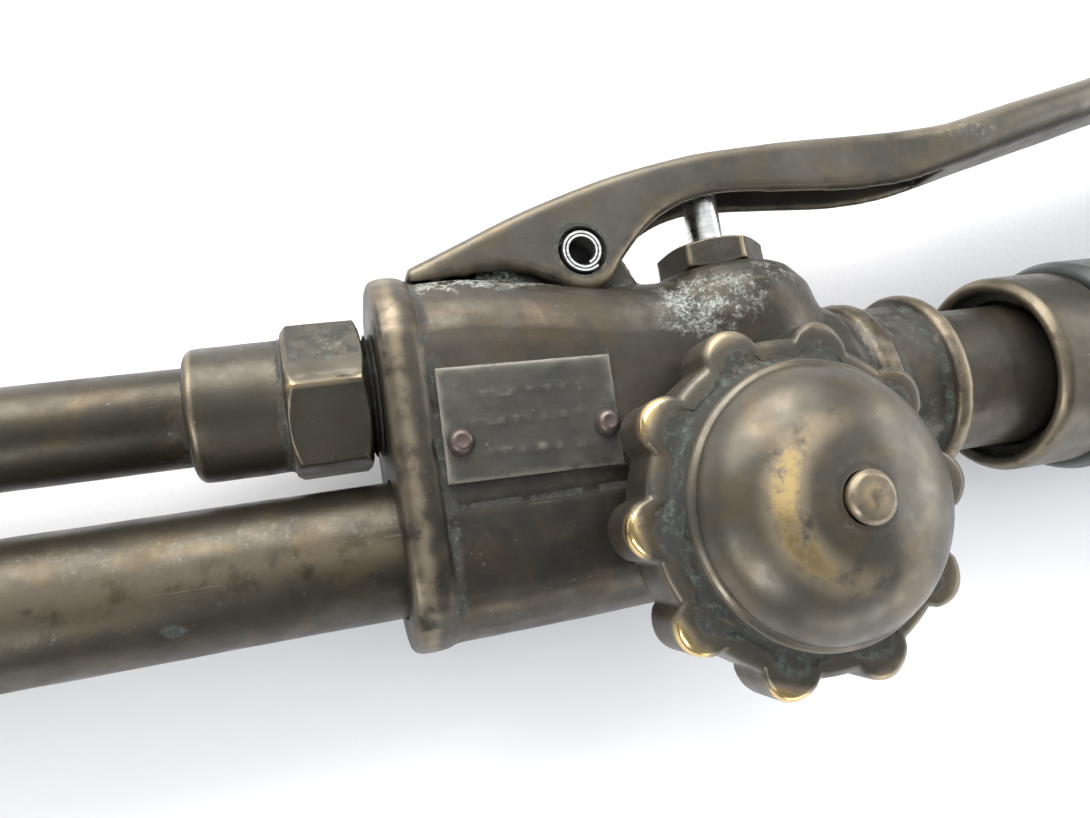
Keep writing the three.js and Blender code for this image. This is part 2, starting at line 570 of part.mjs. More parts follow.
function inletBlock() {
  const outline = (x, shrink) => ({
    x,
    top: BLOCK.halfHeight - shrink,
    bottom: shrink - BLOCK.halfHeight,
    half: BLOCK.halfWidth - shrink,
    corner: 7 - shrink,
  })
  const block = loft([
    outline(BLOCK.start, 1.2), outline(BLOCK.start + 1.2, 0), outline(BLOCK.end - 1.2, 0),
    outline(BLOCK.end, 1.2)])
  const valveBoss = turned(DOWN, at(FUEL_VALVE.x, 0), [
    [0, 12], [7.6, 12], [7.6, 20.9], [7, -FUEL_VALVE.face], [0, -FUEL_VALVE.face]], 18)
  const inlets = [INLET_Y, -INLET_Y].map((y) => turned(BACK, at(0, y), [
    [0, 220], [6.3, 220], [6.3, INLET_END - 0.5], [5.8, INLET_END], [0, INLET_END]], 18))
  const needleBore = turned(DOWN, at(FUEL_VALVE.x, FUEL_VALVE.face), [
    [0, -17], [1, -17], [1, -6.6], [3.2, -6.6], [3.2, -5], [4.6, -5], [4.6, 1], [0, 1]], 12)
  const cuts = [
    hole(at(FUEL_VALVE.x + 2, -INLET_Y - 4.4), at(INLET_END + 1, -INLET_Y), 2),
    hole(at(BLOCK.start - 1, -PIPE.y), at(PIPE.end + GAP, -PIPE.y), PIPE.radius + GAP, 12),
    hole(at(PIPE.end, -PIPE.y), at(FUEL_VALVE.x + 1, -PIPE.y), 1.6),
    hole(at(214, INLET_Y), at(INLET_END + 1, INLET_Y), 2),
    hole(at(BLOCK.start - 1, PIPE.y), at(PIPE.end + GAP, PIPE.y), PIPE.radius + GAP, 12),
    hole(at(PIPE.end - 1, PIPE.y), at(216, INLET_Y + 0.2), 1.6),
  ]
  return [needleBore, ...cuts].reduce((body, cut) => body.subtract(cut),
    [valveBoss, ...inlets].reduce((body, extra) => body.add(extra), block))
}

addPiece('inlet_block', inletBlock(), patina)

// A union nut for a hose. The fuel nut has a groove that marks its left-hand thread.
function hoseNut(y, groove) {
  const bore = turned(BACK, at(0, y), [
    [0, 223], [6.65, 223], [6.65, 234.5], [4.75, 234.5], [4.75, 240], [0, 240]], 18)
  const nut = hexBar(BACK, at(0, y), HOSE_NUT_FLATS, BLOCK.end + GAP, 237, Math.PI / 6).subtract(bore)
  const ring = [[8.6, 230], [11, 229], [11, 231.6], [8.6, 230.6], [8.6, 230]]
  return groove ? nut.subtract(turned(BACK, at(0, y), ring, 18)) : nut
}

// A hose tail: a collar held by the nut, then three barbs.
function hoseTail(y) {
  const profile = [[1.9, 232.3], [6.2, 232.3], [6.2, 234.2], [3.8, 234.2], [3.8, 241]]
  for (const start of [241, 247, 253]) profile.push([4.4, start], [3.4, start + 5])
  profile.push([3.4, 261], [1.9, 261], [1.9, 232.3])
  return turned(BACK, at(0, y), profile, 14)
}

for (const [gas, y] of [['oxygen', INLET_Y], ['fuel', -INLET_Y]]) {
  addPiece(`${gas}_hose_nut`, hoseNut(y, gas === 'fuel'), brass)
  addPiece(`${gas}_hose_tail`, hoseTail(y), brass)
}

// ---- Placing -----------------------------------------------------------------------------

// The origin is under the middle of the torch as it lies on its side.
const box = new THREE.Box3().setFromObject(torch)
torch.position.set(-(box.min.x + box.max.x) / 2, -(box.min.y + box.max.y) / 2, -box.min.z)

export default torch
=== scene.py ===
"""An old oxy-fuel hand torch lying on its side on a white table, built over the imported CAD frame.

Shapes are drawn in millimetres in the torch's own frame: X runs to the handle, Y to the lever and
Z to the handwheel, with the front flange at x = 0 and the handle's axis on y = 0, z = 0.
"""
import json
import math

import bmesh
import bpy
import numpy as np
from mathutils import Matrix, Vector, noise


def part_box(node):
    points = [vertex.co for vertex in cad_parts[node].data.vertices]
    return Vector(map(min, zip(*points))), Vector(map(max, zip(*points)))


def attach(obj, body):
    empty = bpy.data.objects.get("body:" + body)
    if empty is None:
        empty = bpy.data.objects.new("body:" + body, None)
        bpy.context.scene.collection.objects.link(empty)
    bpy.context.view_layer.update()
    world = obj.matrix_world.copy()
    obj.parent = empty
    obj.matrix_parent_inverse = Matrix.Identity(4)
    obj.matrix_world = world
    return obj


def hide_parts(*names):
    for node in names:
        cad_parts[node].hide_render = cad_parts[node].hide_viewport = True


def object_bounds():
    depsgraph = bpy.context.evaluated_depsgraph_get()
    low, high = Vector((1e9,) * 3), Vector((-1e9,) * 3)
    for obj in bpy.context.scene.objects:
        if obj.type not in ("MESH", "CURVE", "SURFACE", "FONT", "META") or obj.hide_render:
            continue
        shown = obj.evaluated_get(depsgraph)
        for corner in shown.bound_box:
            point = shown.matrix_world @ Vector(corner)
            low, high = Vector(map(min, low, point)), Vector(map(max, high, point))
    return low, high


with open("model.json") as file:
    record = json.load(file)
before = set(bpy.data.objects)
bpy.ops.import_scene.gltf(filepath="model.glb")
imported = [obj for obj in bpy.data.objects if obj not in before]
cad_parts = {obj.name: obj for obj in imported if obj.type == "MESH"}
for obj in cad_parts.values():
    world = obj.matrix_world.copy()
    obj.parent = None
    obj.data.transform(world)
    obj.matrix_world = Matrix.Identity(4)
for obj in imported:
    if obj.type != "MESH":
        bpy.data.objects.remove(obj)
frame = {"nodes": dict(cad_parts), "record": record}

CAD_LOW, CAD_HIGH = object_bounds()
MM = 0.001
NIPPLE = 5.0  # the body's nipple stands this far in front of the flange

body_low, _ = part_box("valve_body")
grip_low, grip_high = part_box("grip")
grip_middle = (grip_low + grip_high) / 2
ORIGIN = np.array([body_low.x + NIPPLE * MM, grip_middle.y, grip_middle.z])


def place(x, y, z):
    """A point of the torch's frame, in millimetres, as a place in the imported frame."""
    return Vector(ORIGIN + np.array([x, y, z]) * MM)


# ---- Camera and light ----

def add_object(name, data):
    made = bpy.data.objects.new(name, data)
    bpy.context.scene.collection.objects.link(made)
    return made


SENSOR, LENS = 36, 27.84
CAMERA_AT = (-6.62, -8.48, 89.68)  # over the side that the handwheel faces
CAMERA_RIGHT = Vector((0.95683, -0.15964, 0.24288))
CAMERA_UP = Vector((0.12303, 0.97955, 0.15918))


def add_camera():
    data = bpy.data.cameras.new("camera")
    data.sensor_fit, data.sensor_width, data.lens = "HORIZONTAL", SENSOR, LENS
    data.clip_start, data.clip_end = 0.002, 20
    camera = add_object("camera", data)
    axes = (CAMERA_RIGHT, CAMERA_UP, CAMERA_RIGHT.cross(CAMERA_UP))
    turned_to = Matrix(axes).transposed().to_4x4()
    camera.matrix_world = Matrix.Translation(place(*CAMERA_AT)) @ turned_to
    bpy.context.scene.camera = camera


def add_area(name, towards, distance, size, energy, colour=(1, 1, 1)):
    """A soft light that shines at the torch from a direction."""
    data = bpy.data.lights.new(name, "AREA")
    data.shape, data.size, data.size_y = "RECTANGLE", size[0], size[1]
    data.energy, data.color = energy, colour
    lamp = add_object(name, data)
    away = Vector(towards).normalized()
    lamp.location = place(25, 0, 0) + away * distance
    lamp.rotation_mode = "QUATERNION"
    lamp.rotation_quaternion = away.to_track_quat("Z", "Y")


def add_surroundings():
    world = bpy.data.worlds.new("studio")
    world.use_nodes = True
    shade = world.node_tree.nodes["Background"]
    shade.inputs["Color"].default_value = (0.86, 0.93, 1.0, 1)
    shade.inputs["Strength"].default_value = 0.38
    bpy.context.scene.world = world
    add_area("window_top", (-0.2, 0.85, 0.5), 1.3, (1.7, 0.8), 38, (1, 0.98, 0.95))
    add_area("window_left", (-0.53, -0.65, 0.62), 0.9, (0.1, 0.16), 2.6)
    add_area("window_left_far", (-0.78, -0.42, 0.55), 1.1, (0.12, 0.16), 2.0)
    add_area("window_right", (0.95, 0.1, 0.4), 1.2, (1.2, 0.5), 11)
    add_area("wall_low", (0.55, -0.85, 0.22), 1.2, (1.4, 0.3), 6)
    data = bpy.data.lights.new("sky", "SUN")
    data.energy, data.angle, data.color = 1.2, 1.3, (0.97, 0.98, 1)
    add_object("sky", data).rotation_euler = (-0.6, 0.1, 0)
    settings = bpy.context.scene.view_settings
    settings.view_transform, settings.look = "Standard", "None"
    settings.exposure, settings.gamma = 0.0, 1.0

    mesh = bpy.data.meshes.new("table")
    low, reach = CAD_LOW.z - 0.0002, 30.0
    mesh.from_pydata([(-reach, -reach, low), (reach, -reach, low), (reach, reach, low),
                      (-reach, reach, low)], [], [(0, 1, 2, 3)])
    table = add_object("table", mesh)
    s = Shader("table_paper")
    tint = s.mix(s.noise(8, 3), (0.86, 0.86, 0.88), (0.9, 0.9, 0.91))
    s.surface(tint, roughness=0.75, metallic=0, bump=(s.noise(900, 3), 0.00004))
    mesh.materials.append(s.material)


# ---- Materials ----

class Shader:
    """A procedural material. Texture scales are in cells a metre, in the torch's own space."""

    def __init__(self, name):
        self.material = bpy.data.materials.new(name)
        self.material.use_nodes = True
        self.tree = self.material.node_tree
        self.tree.nodes.clear()
        self.space = self.node("ShaderNodeTexCoord").outputs["Object"]

    def node(self, kind, values=None, **settings):
        made = self.tree.nodes.new(kind)
        for key, value in settings.items():
            setattr(made, key, value)
        for key, value in (values or {}).items():
            socket = made.inputs[key]
            if isinstance(value, bpy.types.NodeSocket):
                self.tree.links.new(value, socket)
            elif isinstance(value, tuple) and socket.type == "RGBA":
                socket.default_value = (*value, 1)
            else:
                socket.default_value = value
        return made

    def stretched(self, scale, turn=(0, 0, 0)):
        return self.node("ShaderNodeMapping", {
            "Vector": self.space, "Scale": scale, "Rotation": turn}).outputs["Vector"]

    def noise(self, scale, detail=3, rough=0.55, twist=0.0, space=None):
        return self.node("ShaderNodeTexNoise", {
            "Vector": space or self.space, "Scale": scale, "Detail": detail, "Roughness": rough,
            "Distortion": twist}).outputs["Fac"]

    def cells(self, scale):
        return self.node("ShaderNodeTexVoronoi", {
            "Vector": self.space, "Scale": scale}).outputs["Distance"]

    def painted(self, name):
        return self.node("ShaderNodeAttribute", attribute_name=name).outputs["Fac"]

    def span(self, value, low, high, bottom=0.0, top=1.0):
        """The value, taken smoothly from one span to another and held inside it."""
        return self.node("ShaderNodeMapRange", {
            "Value": value, "From Min": low, "From Max": high, "To Min": bottom, "To Max": top},
            interpolation_type="SMOOTHSTEP").outputs["Result"]

    def sum(self, operation, a, b):
        return self.node("ShaderNodeMath", {0: a, 1: b}, operation=operation,
                         use_clamp=operation in ("ADD", "SUBTRACT")).outputs[0]

    def mix(self, factor, a, b):
        return self.node("ShaderNodeMix", {0: factor, 6: a, 7: b}, data_type="RGBA").outputs[2]

    def blend(self, factor, a, b):
        return self.node("ShaderNodeMix", {0: factor, 2: a, 3: b}, data_type="FLOAT").outputs[0]

    def surface(self, colour, roughness, metallic, bump=None, finer=None):
        values = {"Base Color": colour, "Roughness": roughness, "Metallic": metallic}
        normal = None
        for height, distance in filter(None, (bump, finer)):
            inputs = {"Height": height, "Distance": distance, "Strength": 1.0}
            if normal:
                inputs["Normal"] = normal
            normal = self.node("ShaderNodeBump", inputs).outputs["Normal"]
        if normal:
            values["Normal"] = normal
        shader = self.node("ShaderNodeBsdfPrincipled", values)
        self.node("ShaderNodeOutputMaterial", {"Surface": shader.outputs[0]})


BRASS = (0.56, 0.41, 0.19)
RUBBED = (0.215, 0.175, 0.12)
VERDIGRIS = (0.078, 0.105, 0.082)
DEPOSIT = (0.34, 0.36, 0.32)


def patina(name, dark, light, red, rough=0.4, metallic=0.75, gold=1.0, green=1.0, pits=1.0,
           scratch=0.4, rubbed=RUBBED, brass=BRASS):
    """Old brown brass: mottled, rubbed to gold where worn, green in its crevices, with dust. Painted
    light rides on the same masks: a highlight on the handwheel's lobes, and shade under the handwheel.
    """
    s = Shader(name)
    broad, medium, fine = s.noise(55, 4, 0.6), s.noise(330, 5, 0.65), s.noise(2600, 3, 0.6)
    colour = s.mix(s.span(broad, 0.34, 0.66), dark, light)
    colour = s.mix(s.span(s.noise(150, 5, 0.7, 0.6), 0.45, 0.7, 0, 0.8), colour, red)
    colour = s.mix(s.span(medium, 0.3, 0.7, 0, 0.35), colour, tuple(0.55 * c for c in dark))

    streaks = s.noise(1.0, 2, 0.5, 0, s.stretched((60, 2600, 2600), (0.03, 0.02, 0.06)))
    crossing = s.noise(1.0, 2, 0.5, 0, s.stretched((1900, 90, 1900), (0.1, 0.3, 0.5)))
    lines = s.sum("MAXIMUM", s.span(streaks, 0.68, 0.74), s.span(crossing, 0.7, 0.76))
    lines = s.sum("MULTIPLY", lines, s.span(s.noise(120, 3), 0.5, 0.62, 0, scratch))

    # rubbing, plus the painted highlight that the handwheel lays into its wear
    worn = s.sum("MULTIPLY", s.painted("wear"), s.span(medium, 0.22, 0.52, 0.25, 1.25))
    worn = s.sum("ADD", worn, s.sum("MULTIPLY", lines, 0.4))
    colour = s.mix(s.span(worn, 0.16, 0.7), colour, rubbed)
    worn = s.span(worn, 0.6, 1.0, 0, gold)
    colour = s.mix(worn, colour, brass)

    # green-black crust in hollows, also laid on as painted shade under the handwheel
    crust_and_shade = s.sum("MULTIPLY", s.painted("grime"), s.span(s.noise(420, 5, 0.75), 0.3, 0.6, 0.2, 1.2))
    crust_and_shade = s.span(crust_and_shade, 0.22, 0.75, 0, green)
    speckled = s.mix(s.span(s.noise(700, 6, 0.8), 0.5, 0.68), (0.03, 0.03, 0.025), VERDIGRIS)
    colour = s.mix(crust_and_shade, colour, speckled)

    # pale grains: thick where they were painted, and a few everywhere else
    grains = s.noise(2300, 5, 0.9)
    caked = s.sum("MULTIPLY", s.painted("dust"), s.span(s.noise(560, 4, 0.7), 0.36, 0.62, 0.15, 1.2))
    caked = s.sum("MULTIPLY", caked, s.span(grains, 0.36, 0.62, 0.12, 1.3))
    motes = s.sum("MULTIPLY", s.span(s.cells(1150), 0.24, 0.1), s.span(s.noise(420, 5, 0.8), 0.5, 0.7))
    pale = s.sum("MAXIMUM", s.span(caked, 0.12, 0.95), s.sum("MULTIPLY", motes, 0.24 * pits))
    colour = s.mix(pale, colour, DEPOSIT)

    dull = s.sum("MAXIMUM", crust_and_shade, pale)
    roughness = s.span(medium, 0.2, 0.8, rough - 0.07, rough + 0.12)
    roughness = s.blend(worn, roughness, max(0.24, rough - 0.12))
    roughness = s.blend(dull, roughness, 0.85)
    metal = s.blend(worn, metallic, 1.0)
    metal = s.blend(dull, metal, 0.0)
    height = s.sum("ADD", s.sum("MULTIPLY", medium, 0.5), s.sum("MULTIPLY", dull, 0.5))
    height = s.sum("SUBTRACT", height, s.sum("MULTIPLY", lines, 0.5))
    s.surface(colour, roughness, metal, (height, 0.00005 * pits), (fine, 0.000012 * pits))
    return s.material


def drawn_metal(name, dark, light, rough, metallic=1.0, along="X"):
    """Turned or drawn metal: fine lines along or round it, stained here and there, and blackened where
    painted shade is laid on.
    """
    s = Shader(name)
    scale = {"X": (2500, 120, 120), "Y": (120, 2500, 120), "Z": (120, 120, 2500)}[along]
    lines = s.noise(1.0, 3, 0.6, 0, s.stretched(scale))
    stain = s.noise(210, 5, 0.7, 0.4)
    colour = s.mix(s.span(lines, 0.3, 0.7), dark, light)
    colour = s.mix(s.span(stain, 0.5, 0.75, 0, 0.7), colour, tuple(0.45 * c for c in dark))
    worn = s.span(s.painted("wear"), 0.2, 0.8)
    colour = s.mix(worn, colour, tuple(min(1, 1.25 * c) for c in light))
    # dark grime in hollows, and painted shade inside the pivot hole
    soot_and_shade = s.span(s.painted("grime"), 0.3, 0.9)
    colour = s.mix(soot_and_shade, colour, (0.02, 0.019, 0.017))
    roughness = s.blend(s.span(stain, 0.4, 0.75), rough, rough + 0.25)
    roughness = s.blend(soot_and_shade, roughness, 0.8)
    s.surface(colour, roughness, s.blend(soot_and_shade, metallic, 0.1), (lines, 0.000012),
              (s.noise(1500), 0.000008))
    return s.material


def enamel(name, dark, light):
    """Old satin enamel on a steel tube, dusty and rubbed at its ends."""
    s = Shader(name)
    colour = s.mix(s.span(s.noise(70, 4, 0.6), 0.35, 0.65), dark, light)
    colour = s.mix(s.span(s.noise(480, 5, 0.7), 0.52, 0.8, 0, 0.5), colour,
                   tuple(0.5 * c for c in dark))
    marks = s.noise(1.0, 2, 0.5, 0, s.stretched((70, 1500, 1500), (0.02, 0.1, 0.08)))
    marks = s.sum("MULTIPLY", s.span(marks, 0.66, 0.74), s.span(s.noise(60, 3), 0.45, 0.65))
    worn = s.sum("MULTIPLY", s.painted("wear"), s.span(s.noise(600, 4), 0.3, 0.6, 0.3, 1.2))
    bare = s.span(s.sum("ADD", worn, s.sum("MULTIPLY", marks, 0.2)), 0.35, 0.8, 0, 0.7)
    colour = s.mix(bare, colour, (0.34, 0.32, 0.28))
    roughness = s.span(s.noise(350, 4), 0.3, 0.7, 0.36, 0.52)
    s.surface(colour, roughness, s.blend(bare, 0.0, 0.9), (s.noise(420, 3), 0.00003),
              (s.noise(2400, 3), 0.000008))
    return s.material


def soft_seal(name, dark, light):
    s = Shader(name)
    colour = s.mix(s.span(s.noise(900, 4), 0.35, 0.65), dark, light)
    s.surface(colour, s.span(s.noise(500), 0.3, 0.7, 0.7, 0.9), 0.0, (s.noise(2500), 0.00003))
    return s.material


LOOKS = {
    "body_patina": patina("body_patina", (0.038, 0.035, 0.029), (0.074, 0.065, 0.05),
                          (0.076, 0.055, 0.033)),
    "tube_patina": patina("tube_patina", (0.037, 0.033, 0.025), (0.07, 0.061, 0.044),
                          (0.08, 0.058, 0.03), rough=0.36, pits=0.8, scratch=0.3),
    "wheel_patina": patina("wheel_patina", (0.062, 0.056, 0.044), (0.11, 0.099, 0.078),
                           (0.12, 0.088, 0.05), rough=0.35, metallic=0.65, pits=0.6),
    "lever_patina": patina("lever_patina", (0.06, 0.056, 0.047), (0.106, 0.097, 0.08),
                           (0.105, 0.082, 0.052), rough=0.42, gold=0.6, pits=0.6, scratch=0.25),
    "fitting_patina": patina("fitting_patina", (0.044, 0.04, 0.031), (0.084, 0.075, 0.056),
                             (0.085, 0.068, 0.046), rough=0.38, scratch=0.6),
    "plate_metal": patina("plate_metal", (0.042, 0.041, 0.035), (0.08, 0.077, 0.066),
                          (0.075, 0.064, 0.047), rough=0.5, metallic=0.6, gold=0.4, green=0.7,
                          scratch=0.9, rubbed=(0.16, 0.15, 0.125), brass=(0.3, 0.27, 0.21)),
    "rivet_metal": patina("rivet_metal", (0.085, 0.068, 0.06), (0.14, 0.115, 0.10),
                          (0.13, 0.09, 0.07), rough=0.45, gold=0.3, rubbed=(0.2, 0.17, 0.15),
                          brass=(0.36, 0.3, 0.25)),
    "bright_steel": drawn_metal("bright_steel", (0.52, 0.52, 0.50), (0.80, 0.80, 0.78), 0.24,
                                along="Y"),
    "brass": patina("dull_brass", (0.24, 0.17, 0.08), (0.42, 0.31, 0.14), (0.2, 0.12, 0.05),
                    rough=0.34, metallic=0.95, pits=0.5),
    "copper": patina("stained_copper", (0.16, 0.09, 0.06), (0.36, 0.19, 0.12), (0.12, 0.08, 0.07),
                     rough=0.4, metallic=0.9, pits=0.6, brass=(0.66, 0.38, 0.25)),
    "grip_paint": enamel("grip_enamel", (0.022, 0.026, 0.025), (0.045, 0.05, 0.047)),
    "packing": soft_seal("packing", (0.35, 0.33, 0.28), (0.55, 0.52, 0.45)),
    "seal_rubber": soft_seal("seal_rubber", (0.01, 0.01, 0.01), (0.03, 0.03, 0.03)),
}


# ---- Meshes ----

# Each direction with the two directions round it.
ROUND = {
    "back": ((1, 0, 0), (0, 1, 0), (0, 0, 1)),
    "up": ((0, 1, 0), (0, 0, 1), (1, 0, 0)),
    "down": ((0, -1, 0), (1, 0, 0), (0, 0, 1)),
    "out": ((0, 0, 1), (1, 0, 0), (0, 1, 0)),
}


def rounded(points, radius=0.35, longest=3.0, steps=4):
    """A profile with its corners rounded and its long runs divided."""
    points = [np.array(p, float) for p in points]
    closed = np.allclose(points[0], points[-1])
    made = [] if closed else [points[0]]
    count = len(points)
    for i in range(0 if closed else 1, count - 1):
        before, here, after = points[(i - 1) if i else count - 2], points[i], points[i + 1]
        a, b = before - here, after - here
        la, lb = np.linalg.norm(a), np.linalg.norm(b)
        cut = min(radius, 0.42 * la, 0.42 * lb)
        if here[0] < 1e-6 or abs(np.cross(a / la, b / lb)) < 0.3 and a @ b < 0:
            made.append(here)
            continue
        a, b = a / la, b / lb
        room = min(cut + 0.25, 0.48 * la), min(cut + 0.25, 0.48 * lb)
        made.append(here + a * room[0])
        for t in np.linspace(0, 1, steps + 1):
            made.append(here + a * cut * (1 - t) ** 2 + b * cut * t ** 2)
        made.append(here + b * room[1])
    made.append(made[0] if closed else points[-1])
    fine = [made[0]]
    for p, q in zip(made, made[1:]):
        parts = max(1, math.ceil(np.linalg.norm(q - p) / longest))
        fine.extend(p + (q - p) * k / parts for k in range(1, parts + 1))
    return fine


def hexagon(flats, turn=0.0, above=0.0):
    """The radius of a hexagonal bar at each angle, blended with a turned limit.

    Turned radii up to "above" stay round, as in a nut's bore and its collars.
    """
    def shape(angle, limit):
        if limit <= above:
            return np.full(len(angle), limit)
        fold = (angle - turn + math.pi / 6) % (math.pi / 3) - math.pi / 6
        flat = flats / 2 / np.cos(fold)
        soft = 0.5
        near = np.clip(0.5 + 0.5 * (limit - flat) / soft, 0, 1)
        return limit + (flat - limit) * near - soft * near * (1 - near) * 0.5
    return shape


def lathe(direction, at, profile, segments=96, shape=None):
    """Rings round an axis. The profile holds rows of radius and distance along it."""
    along, u, v = (np.array(w, float) for w in ROUND[direction])
    angle = np.linspace(0, 2 * math.pi, segments, endpoint=False)
    rings = []
    for radius, distance in profile:
        reach = np.full(segments, radius) if shape is None or radius < 1e-6 else shape(angle, radius)
        ring = np.outer(reach * np.cos(angle), u) + np.outer(reach * np.sin(angle), v)
        rings.append(np.array(at, float) + along * distance + ring)
    return skin(rings)


def skin(rings):
    """Points and faces of a surface through rings of the same count."""
    count, segments = len(rings), len(rings[0])
    faces = [(i * segments + j, i * segments + (j + 1) % segments,
              (i + 1) * segments + (j + 1) % segments, (i + 1) * segments + j)
             for i in range(count - 1) for j in range(segments)]
    return np.concatenate(rings), faces


def capped(rings):
    """A surface through rings, closed by a point at each end."""
    first, last = (np.repeat([ring.mean(axis=0)], len(ring), axis=0)
                   for ring in (rings[0], rings[-1]))
    return skin([first, *rings, last])


def prism(outline, low, high):
    """A closed block from an outline in X and Y, between two levels of Z."""
    outline = np.array(outline, float)
    area = (outline[:, 0] * np.roll(outline[:, 1], -1) - outline[:, 1] * np.roll(outline[:, 0], -1))
    if area.sum() < 0:
        outline = outline[::-1]
    n = len(outline)
    points = np.concatenate([np.column_stack([outline, np.full(n, z)]) for z in (low, high)])
    sides = [(i, (i + 1) % n, n + (i + 1) % n, n + i) for i in range(n)]
    return points, [tuple(range(n - 1, -1, -1)), tuple(range(n, 2 * n)), *sides]


def solid(name, *parts):
    """One object from several surfaces, in the row frame."""
    mesh = bpy.data.meshes.new(name)
    build = bmesh.new()
    for points, faces in parts:
        corners = [build.verts.new(place(*p)) for p in points]
        for face in faces:
            build.faces.new([corners[i] for i in face])
    bmesh.ops.remove_doubles(build, verts=build.verts[:], dist=2e-7)
    bmesh.ops.recalc_face_normals(build, faces=build.faces[:])
    build.to_mesh(mesh)
    build.free()
    return add_object(name, mesh)


def settle(piece):
    """Applies the piece's modifiers."""
    graph = bpy.context.evaluated_depsgraph_get()
    made = bpy.data.meshes.new_from_object(piece.evaluated_get(graph))
    old = piece.data
    piece.modifiers.clear()
    piece.data = made
    bpy.data.meshes.remove(old)


def fuse(piece, voxel, rounds):
    """Joins overlapping solids into one skin, with fillets where they meet."""
    remesh = piece.modifiers.new("fuse", "REMESH")
    remesh.mode, remesh.voxel_size = "VOXEL", voxel * MM
    smooth = piece.modifiers.new("fillet", "SMOOTH")
    smooth.factor, smooth.iterations = 0.5, rounds
    settle(piece)


def carve(piece, cutters):
    for cutter in cutters:
        cut = piece.modifiers.new("cut", "BOOLEAN")
        cut.operation, cut.solver, cut.object = "DIFFERENCE", "MANIFOLD", cutter
    settle(piece)
    for cutter in cutters:
        bpy.data.objects.remove(cutter)


def triples(values, name):
    flat = np.empty(3 * len(values))
    values.foreach_get(name, flat)
    return flat.reshape(-1, 3)


def points_of(mesh):
    return triples(mesh.vertices, "co")


def torch_points(mesh):
    return ((points_of(mesh) - ORIGIN) / MM).T


def normals_of(mesh):
    return triples(mesh.vertex_normals, "vector")


def move(piece, amount):
    """Moves each point along its normal by its own amount, in millimetres."""
    mesh = piece.data
    moved = points_of(mesh) + normals_of(mesh) * (amount * MM)[:, None]
    mesh.vertices.foreach_set("co", moved.ravel())
    mesh.update()


def dent(piece, depth, size, seed=0.0):
    """Moves the surface in and out a little, as on a casting or a much used part."""
    shift = Vector((seed, 3.1 * seed, -seed))
    scale = 1 / (size * MM)
    swell = [noise.noise(Vector(p) * scale + shift) for p in points_of(piece.data)]
    move(piece, np.array(swell) * depth)


def push(piece, depth):
    """Moves each point along its normal by depth(x, y, z), in millimetres."""
    move(piece, depth(*torch_points(piece.data)))


def relief(mesh, rounds):
    """How far each point stands out of its surroundings, in millimetres."""
    points = points_of(mesh)
    ends = np.empty(2 * len(mesh.edges), int)
    mesh.edges.foreach_get("vertices", ends)
    a, b = ends.reshape(-1, 2).T
    count = len(points)
    degree = np.maximum(1, np.bincount(a, minlength=count) + np.bincount(b, minlength=count))
    calm = points.copy()
    for _ in range(rounds):
        calm = np.stack([(np.bincount(a, calm[b, k], count) + np.bincount(b, calm[a, k], count))
                         / degree for k in range(3)], axis=1)
    return ((points - calm) * normals_of(mesh)).sum(axis=1) / MM


def paint(piece, name, values):
    layer = piece.data.attributes.new(name, "FLOAT", "POINT")
    layer.data.foreach_set("value", np.clip(values, 0, 1).astype(np.float32))


def ramp(x, start, run):
    """0 up to the start, 1 once past the run, and straight between them."""
    return np.clip((x - start) / run, 0, 1)


def ease(t):
    return t * t * (3 - 2 * t)


def stripe(x, at, width):
    """A soft band: 1 where x is at its middle and fading out at its width."""
    return np.exp(-((x - at) / width) ** 2)


def spot(x, y, centre, size):
    """A soft round patch: 1 at its centre and fading out at its size."""
    return np.exp(-(((x - centre[0]) / size[0]) ** 2 + ((y - centre[1]) / size[1]) ** 2))


def ready(piece, node, body, slot, look=None, edge=0.06, nook=0.08, sharp=50,
          wear=None, grime=None, dust=None):
    """Gives a finished shape its wear, grime and dust (some parts lay painted shade or a painted
    highlight on them), its material and its place on the torch.
    """
    mesh = piece.data
    inside = np.clip(points_of(mesh), CAD_LOW, CAD_HIGH)  # dents never leave the CAD's box
    mesh.vertices.foreach_set("co", inside.ravel())
    mesh.update()
    out, wide = relief(mesh, 3), relief(mesh, 14)
    x, y, z = torch_points(mesh)
    worn = np.clip(out / edge, 0, 1)
    dirty = np.clip(-wide / nook, 0, 1) * 0.8
    paint(piece, "wear", 0.4 * worn if wear is None else wear(x, y, z, worn))
    paint(piece, "grime", dirty if grime is None else grime(x, y, z, dirty))
    paint(piece, "dust", np.zeros(len(x)) if dust is None else dust(x, y, z))
    build = bmesh.new()
    build.from_mesh(mesh)
    for face in build.faces:
        face.smooth = True
    for rim in build.edges:
        rim.smooth = rim.is_manifold and rim.calc_face_angle(0) < math.radians(sharp)
    build.to_mesh(mesh)
    build.free()
    mesh.materials.clear()
    mesh.materials.append(LOOKS[look or slot])
    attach(piece, body)
    if node:
        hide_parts(node)


def turned(node, body, slot, direction, at, profile, segments=96, shape=None, bumps=0.02,
           radius=0.35, longest=3.0, seed=1.0, **finish):
    """A lathe-turned piece in place of a CAD node."""
    piece = solid(f"{node}_detail", lathe(direction, at, rounded(profile, radius, longest),
                                         segments, shape))
    if bumps:
        dent(piece, bumps, 4.0, seed)
    ready(piece, node, body, slot, **finish)


# ---- The torch ----

UPPER_TUBE_Y, LOWER_TUBE_Y = 6.7, -9.6
PIVOT_X, PIVOT_Y, PIVOT_HOLE = 24.0, 19.4, 2.8
VALVE_X = 41.4
PREHEAT_X, PREHEAT_Y, PREHEAT_FACE = 36.6, -11.4, 13.2
FUEL_X, FUEL_FACE = 212.0, 21.5
HEAD_X = -219.0
BEAD = 2.15

